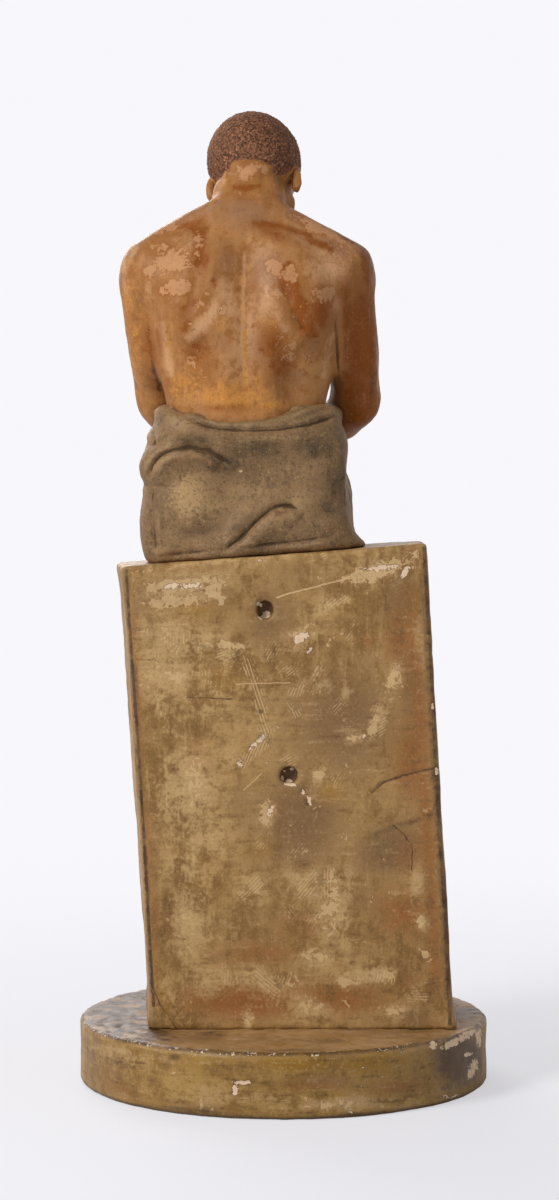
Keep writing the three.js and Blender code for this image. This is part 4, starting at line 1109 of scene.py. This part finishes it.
blockMarks = {
    "depth": 0.8,
    "clean": (40, 52),
    "away": {
        "pale": (30, 0.62), "grey": (46, 0.8), "warm": (40, 0.45), "gold": (38, 0.5), "worn": (17, 0.4),
        "dim": (50, 0.45),
    },
    "pale": {
        0.9: [
            (186, 922, 22, 38), (334, 912, 17, 44, 6), (318, 960, 20, 12), (366, 978, 46, 10, -10),
            (308, 1010, 24, 11, 18), (422, 925, 7, 9),
        ],
        0.8: [
            (248, 1021, 5, 14), (397, 1014, 14, 8), (394, 676, 9, 16, 20), (380, 716, 7, 22, 25),
            (318, 776, 7, 16, 15), (268, 816, 12, 14, 20), (375, 572, 40, 16, -8),
        ],
        0.7: [
            (168, 660, 34, 56), (236, 650, 22, 10, 10), (418, 884, 8, 20), (346, 690, 6, 16),
            (355, 738, 10, 8), (330, 606, 30, 7, -20), (302, 640, 24, 14, -20), (180, 590, 44, 20, -4),
        ],
        0.6: [(200, 640, 26, 12), (190, 872, 26, 30), (262, 985, 30, 14, 20), (170, 1000, 12, 30, -20)],
        0.5: [
            (196, 850, 28, 30), (225, 760, 20, 18, -30), (210, 985, 24, 18), (300, 880, 22, 18),
            (320, 684, 20, 14), (250, 890, 16, 16), (416, 995, 16, 10), (216, 560, 80, 6, -6),
        ],
        0.4: [(145, 640, 10, 50), (205, 700, 40, 30), (420, 640, 7, 40, -4)],
        0.85: [(184, 788, 30, 44)], 0.55: [(205, 842, 26, 42)],
    },
    "grey": {
        0.8: [(180, 600, 60, 26, -4), (415, 1020, 20, 14)],
        0.7: [(270, 620, 34, 40), (400, 600, 24, 60), (412, 690, 18, 60, -4)],
        0.5: [(150, 620, 16, 50, -4), (360, 900, 30, 20)],
        0.4: [(300, 575, 60, 20), (240, 800, 20, 40), (250, 700, 20, 16)],
        0.9: [(390, 850, 44, 30, -20)], 0.85: [(300, 820, 50, 60)], 0.75: [(345, 720, 70, 70)],
        0.3: [(270, 940, 40, 14)],
    },
    "warm": {
        0.7: [(412, 760, 26, 60), (405, 915, 40, 36)],
        0.6: [(260, 955, 60, 18), (368, 640, 20, 14), (400, 640, 22, 60, -4)],
        0.5: [
            (300, 930, 50, 22), (194, 750, 20, 18), (130, 700, 6, 90, -4), (414, 860, 26, 40),
            (405, 980, 30, 30),
        ],
        0.75: [(240, 1004, 100, 24)], 0.65: [(340, 1000, 70, 24)], 0.4: [(190, 565, 60, 8, -5)],
        0.3: [(160, 940, 10, 50)],
    },
    "warmLines": [
        ([(408, 566), (417, 680), (425, 800), (433, 900), (439, 1010)], 0.62, 13),
        ([(132, 600), (140, 720), (150, 860), (158, 1000)], 0.5, 8),
    ],
    "gold": {
        0.6: [(190, 610, 50, 16), (220, 680, 30, 20), (330, 790, 20, 16)],
        0.5: [(205, 870, 40, 60), (345, 605, 30, 12, -20), (260, 850, 30, 16)],
        0.7: [(165, 1000, 14, 36, -14)], 0.4: [(230, 760, 40, 40)],
    },
    "worn": {
        0.9: [(210, 590, 12, 8, 20), (398, 566, 16, 10, 10), (393, 678, 7, 13, 20), (316, 958, 15, 8)],
        0.77: [
            (300, 638, 20, 9, -30), (355, 738, 8, 5), (268, 814, 9, 12, 20), (318, 774, 6, 12, 15),
            (230, 646, 22, 6, 10), (350, 984, 22, 6, -10), (396, 1014, 12, 6), (292, 982, 10, 6),
            (414, 552, 12, 5, 30),
        ],
        0.72: [(332, 905, 11, 34, 6), (306, 1008, 18, 7, 18)],
        0.7: [(376, 722, 6, 18, 25), (222, 600, 7, 5)],
        0.64: [(390, 976, 24, 5, -6), (395, 1012, 14, 4), (140, 570, 20, 3, -6)],
        0.38: [(170, 660, 24, 40), (186, 780, 24, 30), (182, 920, 18, 34)],
        1: [(372, 573, 34, 10, -10)], 0.97: [(421, 924, 5, 8)], 0.95: [(178, 585, 40, 7, -4)],
        0.85: [(176, 601, 34, 7, -4)], 0.84: [(427, 957, 5, 5)], 0.79: [(247, 1021, 4, 12)],
        0.51: [(330, 640, 16, 6, -30)],
    },
    # dark paint; the strokes toward the right edge, where the back turns from the light, are painted shade,
    # and the thin bands across the top just below the cloth's hem are a painted shadow
    "dim": {
        0.6: [(426, 600, 5, 60, -4), (433, 700, 5, 60, -4), (440, 800, 5, 66, -4), (126, 585, 6, 30)],
        0.5: [(137, 700, 4, 80, -4), (160, 560, 40, 4, -6), (330, 548, 60, 4, -3), (145, 850, 3, 80, -4)],
        0.4: [(428, 900, 12, 60, -4), (165, 700, 22, 3)],
        0.35: [(398, 640, 16, 60, -4), (412, 760, 16, 60, -4), (205, 655, 14, 8)],
        0.3: [(245, 670, 6, 5), (394, 560, 20, 8)],
        0.7: [(448, 930, 6, 90, -3)], 0.2: [(250, 660, 12, 12)],
    },
    # dark lines down both edges and along the cracks; the line down the right edge is painted shade
    "dimLines": [
        ([(368, 796), (380, 784), (402, 776), (420, 772), (437, 768)], 0.6, 2.4),
        ([(355, 842), (372, 838), (398, 826), (434, 816)], 0.5, 5),
        ([(146, 976), (154, 996), (166, 1018), (180, 1036)], 0.4, 4),
        ([(125, 570), (131, 660), (139, 760), (146, 880), (151, 1010)], 0.6, 3.5),
        ([(420, 556), (428, 660), (436, 800), (444, 900), (449, 1024)], 0.55, 5),
        ([(186, 698), (232, 698)], 0.5, 0.9), ([(266, 590), (300, 596)], 0.2, 3),
    ],
    "bare": {
        1: [(264, 617, 7, 2.4, -8), (303, 793, 3, 4), (309, 801, 2.4, 6, -20), (437, 772, 2, 4)],
        0.98: [(290, 785, 9, 2, 10), (282, 779, 2, 3), (364, 737, 2.6, 2.4)],
        0.92: [(301, 638, 12, 5, -25), (405, 572, 4, 9, 30)],
        0.84: [(258, 604, 2, 3), (292, 770, 3, 3), (433, 706, 2, 5)],
        0.8: [(266, 613, 5, 3), (289, 782, 6, 3)],
        0.78: [(380, 568, 26, 3, -6), (258, 742, 15, 3, -40)],
        0.7: [
            (261, 605, 2.4, 3), (284, 772, 2.4, 2.4), (270, 812, 4, 8, 15), (185, 586, 30, 4, -4),
            (240, 764, 7, 4, -40), (276, 655, 2, 2), (260, 560, 3, 1.6),
        ],
        0.77: [(310, 650, 8, 3, -40)],
    },
    # comb and rasp strokes: path, strength, width, lean of the lines' pitch, pitch in pixels
    "comb": [
        ([(243, 650), (256, 690), (263, 720), (272, 748)], 0.85, 7, -18, 3.1),
        ([(236, 768), (254, 752), (272, 738)], 0.8, 7, 24, 2.7),
        ([(160, 640), (205, 636)], 0.55, 12, 0, 3.2), ([(160, 650), (230, 645)], 0.3, 10, 90, 3),
        ([(284, 694), (306, 690), (328, 690)], 0.6, 9, 20, 3),
        ([(312, 690), (318, 672), (324, 660)], 0.6, 6, 30, 3.2),
        ([(318, 612), (334, 602), (352, 596)], 0.6, 9, 52, 3),
        ([(370, 728), (384, 704), (396, 672)], 0.6, 8, 24, 2.8),
        ([(330, 790), (342, 772)], 0.5, 8, 30, 2.8), ([(212, 652), (240, 662)], 0.6, 8, 70, 2.7),
        ([(270, 668), (300, 676)], 0.55, 9, 50, 2.7), ([(286, 700), (300, 720)], 0.5, 10, -30, 2.8),
        ([(330, 716), (346, 700)], 0.55, 8, 40, 2.7), ([(300, 560), (330, 556)], 0.4, 7, 80, 2.6),
        ([(390, 690), (384, 720), (370, 744)], 0.6, 8, 60, 2.6),
        ([(276, 760), (300, 764)], 0.5, 9, 60, 2.8),
        ([(240, 902), (252, 890), (264, 878)], 0.75, 9, 44, 2.9),
        ([(296, 902), (308, 886), (322, 872)], 0.75, 9, 40, 2.9), ([(327, 864), (329, 905)], 0.8, 8, 0, 3),
        ([(284, 906), (296, 918)], 0.55, 7, -40, 2.8), ([(306, 928), (326, 912)], 0.5, 8, 32, 2.9),
        ([(352, 936), (368, 948)], 0.6, 10, 84, 3.2), ([(216, 982), (242, 978)], 0.55, 14, 4, 3.2),
        ([(250, 972), (266, 984), (282, 994)], 0.75, 10, -50, 3.2),
        ([(274, 984), (294, 980)], 0.8, 8, 20, 3.1), ([(368, 980), (398, 978)], 0.8, 9, 6, 3),
        ([(404, 998), (432, 996)], 0.65, 9, 92, 2.8), ([(176, 940), (200, 990)], 0.25, 16, 6, 3.4),
        ([(150, 600), (160, 700), (172, 800)], 0.3, 12, 6, 4.4),
        ([(200, 560), (250, 552)], 0.4, 7, 84, 2.8), ([(290, 842), (306, 856)], 0.5, 10, 40, 3),
        ([(250, 838), (262, 856)], 0.5, 9, 40, 3), ([(196, 640), (214, 700)], 0.4, 14, 6, 3.3),
        ([(342, 640), (360, 622)], 0.5, 9, 40, 2.8), ([(262, 655), (290, 648)], 0.5, 9, 30, 2.8),
        ([(330, 930), (350, 915)], 0.5, 10, 10, 3.2), ([(180, 900), (204, 896)], 0.4, 12, 90, 3.4),
        ([(350, 905), (358, 870)], 0.45, 8, 30, 3), ([(404, 560), (416, 552)], 0.6, 7, 40, 2.6),
        ([(356, 574), (392, 564)], 0.7, 9, 80, 2.6), ([(234, 572), (200, 580)], 0.4, 8, 80, 2.8),
        ([(384, 1010), (408, 1016)], 0.5, 8, 84, 3),
    ],
}
# crisp lines on the back: path, and width in millimetres
blockLines = {
    "dark": [
        ([(126, 570), (131, 650), (138.5, 757), (145.5, 880), (151, 975), (153, 1008)], 1.3),
        ([(424, 548), (431, 660), (438, 800), (445, 900), (451, 1026)], 1.5),
        ([(372, 794), (384, 783), (404, 776), (438, 768)], 0.7),
        ([(394, 826), (406, 837), (413, 851), (412, 872)], 0.5),
        ([(150, 985), (159, 1006), (178, 1034)], 0.5), ([(186, 698), (232, 699)], 0.5),
        ([(262, 603), (259, 609), (262, 616), (268, 618)], 0.8),
        ([(284, 772), (283, 778), (287, 784), (293, 785)], 0.8),
    ],
    "light": [
        ([(277, 597), (349, 578)], 0.75), ([(246, 551), (272, 546)], 0.5), ([(228, 556), (246, 551)], 0.4),
        ([(236, 684), (290, 683)], 0.35), ([(244, 790), (262, 774)], 0.4),
    ],
}

# The block in millimetres
blockForm = {
    "vents": [(12, 317), (-3.6, 209)],  # the middles of the holes in its back
    "plug": {"radius1": 0.0075, "radius2": 0.0075, "depth": 0.008},
    "foot": 43,  # height of its lower end, and how tall it is from there
    "tall": 302,
    "left": (84, 17),  # where a side starts at the foot, and how far it leans by the top
    "right": (-106, 19),
    "front": 56,
    "flare": 4.2,
    "sits": (11.5, 95, 57.5),  # its foot on the plinth: off the middle, half as wide, half as deep
}


# Lines too thin for the mesh are worked out from the paths themselves
def blockPaint(start, where, colour, mottle, fine):
    x = start.axis(where, 0) * 1000 + fine * 2.2
    y = start.axis(where, 1) * 1000
    z = start.axis(where, 2) * 1000 + mottle * 3
    size = photo["pixel"] * (photo["distance"] - 62) / photo["distance"]

    def stroke(path, width):
        nearest = None
        away = [(photo["middle"] - u, photo["horizon"] - v) for u, v in path]
        ends = [(across * size, up * size + photo["height"]) for across, up in away]
        for (ax, az), (bx, bz) in zip(ends[:-1], ends[1:]):
            dx, dz = bx - ax, bz - az
            share = ((x - ax) * dx + (z - az) * dz) * (1 / (dx * dx + dz * dz))
            share = share.most(0.0).least(1.0)
            across, up = x - share * dx - ax, z - share * dz - az
            far = across * across + up * up
            nearest = far if nearest is None else nearest.least(far)
        return (nearest + fine * width * width).step(width * width, 0.2 * width * width)

    back = y.step(50, 57)
    for path, width in blockLines["dark"]:
        colour = (stroke(path, width) * back * (mottle * 2 + 0.7)).between(colour, blockLook["dim"])
    for path, width in blockLines["light"]:
        colour = (stroke(path, width) * back * 0.9).between(colour, blockLook["worn"])
    return colour


# dents, cracks and chips of the back
blockDents = {
    "lines": [
        ([(372, 793), (385, 782), (402, 776), (420, 772), (437, 768)], -0.5, 1.8),
        ([(142, 972), (152, 995), (166, 1020), (178, 1038)], -0.7, 4),
        ([(150, 985), (162, 1005), (176, 1028)], 0.8, 4), ([(220, 655), (262, 650), (300, 652)], 0.3, 10),
        ([(250, 640), (256, 700), (266, 745)], -0.3, 2), ([(277, 597), (350, 578)], -0.5, 1.2),
    ],
    "spots": [
        (265, 609, 9, 9, 0, -0.9, 4), (289, 776, 10, 10, 0, -0.9, 4), (263, 616, 6, 3, 0, -0.6, 4),
        (303, 792, 3, 4, 0, -1, 5), (308, 803, 3, 5, 15, -1, 5), (270, 811, 6, 9, 15, -0.5, 4),
        (250, 748, 3, 3, 0, -0.8, 4), (262, 712, 4, 4, 0, -0.9, 4), (272, 710, 5, 5, 0, -0.6, 4),
        (260, 688, 3, 3, 0, -0.8, 4), (272, 686, 4, 3, 0, -0.6, 4), (276, 665, 8, 5, 0, -0.3),
        (364, 737, 2.6, 2.4, 0, -0.8, 4), (180, 592, 38, 15, -4, -0.45, 8),
        (375, 574, 32, 12, -8, -0.35, 4), (170, 696, 20, 12, 0, 0.4), (437, 772, 3, 5, 0, -0.9, 4),
        (433, 706, 2.6, 5, 0, -0.8, 4),
    ],
}


def makeBlock():
    shape = weld(["seat_block"], hardlyGrown)
    for x, z in blockForm["vents"]:
        # both vent holes are choked with old clay a few millimetres in
        where = Matrix.Translation((x / 1000, 0.0515, z / 1000)) @ Matrix.Rotation(math.radians(84), 4, "X")
        bmesh.ops.create_cone(shape, cap_ends=True, segments=24, matrix=where, **blockForm["plug"])
    piece = place("leaningBlock", shape, voxel=1.5)
    clay = Clay(piece)
    clay.ease(3)
    x, y, z = clay.points.T
    holes = np.min([np.hypot(x - ventX, z - ventZ) for ventX, ventZ in blockForm["vents"]], 0)
    clay.snap("seat_block", smooth(9, 11, holes))
    clay.ease(1)
    # the outer walls: the left one is set in, and all of them flare out at the foot
    x, y, z = clay.points.T
    rise = (z - blockForm["foot"]) / blockForm["tall"]
    left, right = (start + lean * rise for start, lean in (blockForm["left"], blockForm["right"]))
    shell = (x > left - 1) | (x < right) | (np.abs(y) > blockForm["front"])
    near = smooth(-30, 62, y)
    slack = (2.7 - 1.3 * rise) * near + (3.9 - 2.4 * rise) * (1 - near)
    clay.points[:, 0] -= slack * smooth(-2, 2, x - left) * smooth(350, 320, z)
    flare = blockForm["flare"] * np.exp(-(z - 42) / 7)
    clay.press(flare * shell * smooth(0.6, 0.2, np.abs(clay.normals[:, 2])))
    # the foot comes down square on the plinth
    z = clay.points[:, 2]
    clay.points[:, 2] = np.maximum(42.3, z - 2.2 * smooth(47, 43.6, z))
    clay.settle()
    clay.draw(photoSide, blockDents["lines"], blockDents["spots"])
    edge = smooth(-0.5, -1.4, clay.hollows(10, 0.25))
    chips = smooth(0.1, 0.45, clay.grain(9, 31))
    clay.press(0.55 * clay.grain(38, 30) + 0.22 * clay.grain(9, 32) - edge * chips * 1.1)
    clay.ease(1)
    paintAll(clay, blockMarks, 31)
    finished(piece, ["seat_block"], agedPaint("paintedBlock", blockLook, blockPaint))


makeBlock()


def makeStep():
    piece = place("footRest", weld(["foot_rest"], hardlyGrown), voxel=1.3)
    clay = Clay(piece)
    clay.ease(8)
    clay.press(0.9 * clay.grain(26, 41, 3) + 0.35 * clay.grain(6, 42))
    clay.ease(1)
    paintAll(clay, {"depth": 0.8, "away": blockMarks["away"]}, 41)
    finished(piece, ["foot_rest"], agedPaint("paintedStep", blockLook))


makeStep()

plinthLook = blockLook | {
    "base": ink(160, 126, 66), "deep": ink(124, 90, 40), "gold": ink(142, 104, 28), "warm": ink(128, 78, 30),
    "pale": ink(178, 148, 104), "dim": ink(60, 36, 16), "ledge": ink(172, 136, 100),
    "lying": (0.9, 0.5), "rough": 0.46, "strokes": 0.5,
}
plinthMarks = {
    "depth": 0.8,
    "clean": (41.6, 50),
    "away": {
        "pale": (26, 0.6), "grey": (36, 0.7), "warm": (34, 0.5), "gold": (30, 0.8), "worn": (15, 0.35),
        "dim": (40, 0.6),
    },
    "pale": {
        0.5: [(240, 1100, 70, 10, 3), (160, 1040, 60, 5, 8)],
        0.8: [(340, 1108, 60, 7, -4)], 0.6: [(120, 1060, 40, 14, 10)], 0.55: [(300, 1040, 110, 5)],
    },
    "grey": {
        0.5: [(200, 1044, 60, 4), (320, 1085, 50, 10), (200, 1110, 60, 6, 6), (90, 1060, 8, 20)],
        0.9: [(110, 1010, 30, 20)],
    },
    "warm": {
        0.6: [(120, 1092, 30, 9, 20), (400, 1090, 40, 12, -10)],
        0.5: [(300, 1090, 70, 9)], 0.4: [(440, 1040, 20, 6)],
    },
    "gold": {
        0.95: [(300, 1064, 60, 14)], 0.8: [(370, 1065, 50, 16)], 0.6: [(130, 1056, 60, 18, 10)],
        0.5: [(200, 1066, 60, 14)],
    },
    "worn": {
        0.5: [(180, 1050, 40, 3, 6), (130, 1042, 24, 4, 10), (460, 1050, 22, 8, -28)],
        0.6: [(330, 1110, 34, 5, -4)],
    },
    # dark paint; the large patch on the right side, turned from the light, and the lines along the foot are
    # painted shade
    "dim": {
        0.6: [(200, 1115, 90, 4, 6), (350, 1119, 80, 3, -6), (350, 1052, 60, 3)],
        0.95: [(462, 1062, 34, 36)], 0.7: [(174, 1060, 9, 5)], 0.5: [(260, 1050, 80, 2)],
        0.3: [(424, 1070, 22, 24)],
    },
    "bare": {
        0.8: [
            (434, 1048, 5, 6), (480, 1040, 5, 12), (243, 1086, 15, 2.6, -4), (235, 1094, 4, 7),
            (404, 1047, 3, 2.4),
        ],
        0.7: [(470, 1036, 14, 6, -20), (474, 1072, 6, 14, 20), (468, 1058, 8, 3, -20)],
        0.6: [(142, 1039, 8, 2, 4), (176, 1042, 6, 2), (455, 1100, 14, 2, -20)],
        0.5: [
            (365, 1071, 5, 3), (345, 1117, 20, 1.6, -3), (210, 1071, 2, 2), (100, 1034, 8, 1.6, 14),
            (444, 1100, 10, 2, -10),
        ],
        0.75: [(456, 1045, 24, 5, -26)], 0.45: [(398, 1056, 6, 2)],
    },
    "bareLines": [
        ([(84, 1026), (110, 1039), (160, 1049), (230, 1055)], 0.42, 1.4),
        ([(230, 1055), (330, 1056), (420, 1048)], 0.4, 1.2),
    ],
    "comb": [([(316, 1110), (350, 1108)], 0.5, 9, 6, 3)],
}


def plinthPaint(start, where, colour, mottle, fine):
    height = start.axis(where, 2) * 1000 + fine * 1.5 + mottle * 2
    oval = start.node("ShaderNodeVectorMath", {"operation": "MULTIPLY"}, {0: where, 1: (7.3, 6.76, 0)})
    edge = start.node("ShaderNodeVectorMath", {"operation": "LENGTH"}, {0: oval}, 1).step(0.965, 0.98)
    crazed = (start.axis(where, 0) * 1000 + mottle * 60).step(66, 84)
    colour = (height.step(40.4, 41.4) * crazed * 0.7).between(colour, plinthLook["grey"])
    ledge = height.step(41, 41.6) * (1 - crazed) * edge.step(0.8, 0.2)
    colour = (ledge * (mottle * 2 + 0.5)).between(colour, plinthLook["ledge"])
    # the paint of the top is crazed on one side, in bent cells
    wander = start.node("ShaderNodeTexNoise", None, {"Vector": where, "Scale": 60}, 1)
    bends = {0: wander, 1: (0.012, 0.012, 0.012), 2: where}
    bent = start.node("ShaderNodeVectorMath", {"operation": "MULTIPLY_ADD"}, bends)
    cells = {"Vector": bent, "Scale": 44}
    cracks = start.node("ShaderNodeTexVoronoi", {"feature": "DISTANCE_TO_EDGE"}, cells).step(0.2, 0.1)
    cracks = cracks * height.step(40.4, 41.4) * crazed
    colour = (cracks * 0.85).between(colour, plinthLook["dim"])
    rim = height.step(39.4, 41.2) * edge
    colour = (rim * (mottle * 2 + 0.7)).between(colour, plinthLook["dim"])
    chipped = (height.step(39.8, 41) * (mottle * 1.6 + fine * 2 + 0.1)).step(0.28, 0.34)
    colour = (chipped * 0.9 * edge).between(colour, plinthLook["bare"])
    # the lowest few millimetres are darkened: painted shade where the plinth meets the floor
    return (height.step(3.5, 1) * 0.85).between(colour, plinthLook["dim"])


# chips along the side, and cracks of the top in millimetres
plinthDents = {
    "side": [
        (455, 1046, 20, 6, -28, -0.8, 4), (474, 1068, 8, 14, 10, -0.9, 4), (240, 1088, 14, 3, 0, -0.6, 4),
        (236, 1094, 5, 5, 0, -0.6, 4), (434, 1048, 4, 5, 0, -0.7, 4), (455, 1100, 12, 3, -20, -0.6, 4),
    ],
    "top": [
        ([(120, 30), (112, 70), (96, 96)], -0.9, 1.4), ([(128, 60), (108, 62), (92, 74)], -0.8, 1.2),
        ([(104, 40), (118, 84)], -0.8, 1.2), ([(98, 52), (124, 48)], -0.7, 1.2),
        ([(116, 20), (126, 50)], -0.8, 1.4), ([(-118, 30), (-112, 76)], -0.7, 1.4),
        ([(-126, 50), (-104, 66)], -0.6, 1.2),
    ],
}


def makePlinth():
    piece = place("ovalPlinth", weld(["plinth"], hardlyGrown), voxel=1.6)
    clay = Clay(piece)
    clay.ease(4)
    clay.snap("plinth", np.ones(clay.count))
    clay.ease(2)
    clay.draw(photoSide, (), plinthDents["side"])
    clay.draw(flatSide(0, 1, (0, 0, 1)), plinthDents["top"])
    flat = smooth(0.6, 0.95, clay.normals[:, 2])
    clay.press(0.45 * clay.grain(30, 51) + (0.18 + 0.4 * flat) * clay.grain(7, 52))
    # the block is luted on with a small fillet
    x, y, z = clay.points.T
    middle, wide, deep = blockForm["sits"]
    across, along = np.abs(x + middle) - wide, np.abs(y) - deep
    far = np.hypot(np.maximum(across, 0), np.maximum(along, 0)) + np.maximum(-np.maximum(across, along), 0)
    clay.points[:, 2] += 1.9 * np.exp(-far / 2.6) * smooth(40, 42, z)
    clay.ease(1)
    clay.points[:, 2] = np.maximum(clay.points[:, 2], 0)
    clay.settle()
    paintAll(clay, plinthMarks, 51)
    finished(piece, ["plinth"], agedPaint("paintedPlinth", plinthLook, plinthPaint))


makePlinth()

backdrop = {"Color": ink(248, 247, 252), "Strength": 1.0}

# each lamp: where it is, what it is turned to, its size, its power
lamps = {
    "key": ((2.0, 1.7, 1.9), (0, 0, 0.35), 1.0, 70),
    "fill": ((-1.6, 2.0, 0.8), (0, 0, 0.35), 1.6, 7),
    "front": ((0.8, -2.2, 1.6), (0, 0, 0.4), 1.5, 35),
}


# The floor fades into the backdrop away from the plinth
def floorPaint():
    material, tree, shader = newMaterial("floor")
    shader.inputs["Base Color"].default_value = (0.76, 0.78, 0.85, 1)
    shader.inputs["Roughness"].default_value = 0.9
    start = Wire(tree)
    where = start.node("ShaderNodeTexCoord", out=3)
    far = start.node("ShaderNodeVectorMath", {"operation": "LENGTH"}, {0: where}, 1)
    glow = start.node("ShaderNodeEmission", None, backdrop)
    seen = start.node("ShaderNodeLightPath", out=0)
    fade = (far.step(0.15, 1.3) * 0.45 + 0.55) * seen
    mixed = start.node("ShaderNodeMixShader", None, {0: fade, 1: Wire(tree, shader.outputs[0]), 2: glow})
    tree.links.new(mixed.socket, tree.nodes["Material Output"].inputs["Surface"])
    return material


def addStage():
    shape = bmesh.new()
    bmesh.ops.create_circle(shape, cap_ends=True, segments=96, radius=8)
    floor = place("floor", shape)
    floor.data.materials.append(floorPaint())
    world = bpy.data.worlds.new("studio")
    bpy.context.scene.world = world
    world.use_nodes = True
    tree = world.node_tree
    light = tree.nodes["Background"]
    light.inputs["Color"].default_value = (1, 0.98, 0.95, 1)
    light.inputs["Strength"].default_value = 0.3
    start = Wire(tree)
    rays = start.node("ShaderNodeLightPath", out=0).most(start.node("ShaderNodeLightPath", out=3))
    pale = start.node("ShaderNodeBackground", None, backdrop)
    shown = start.node("ShaderNodeMixShader", None, {0: rays, 1: Wire(tree, light.outputs[0]), 2: pale})
    tree.links.new(shown.socket, tree.nodes["World Output"].inputs["Surface"])
    for name, (at, aim, size, power) in lamps.items():
        lamp = bpy.data.lights.new(name, "AREA")
        lamp.size = size
        lamp.energy = power
        lamp.color = (1, 0.97, 0.92)
        thing = bpy.data.objects.new(name, lamp)
        thing.location = at
        thing.rotation_euler = (Vector(aim) - Vector(at)).to_track_quat("-Z", "Y").to_euler()
        bpy.context.scene.collection.objects.link(thing)


addStage()
print("floor, studio and lamps set")
bpy.context.scene.view_settings.view_transform = "Standard"
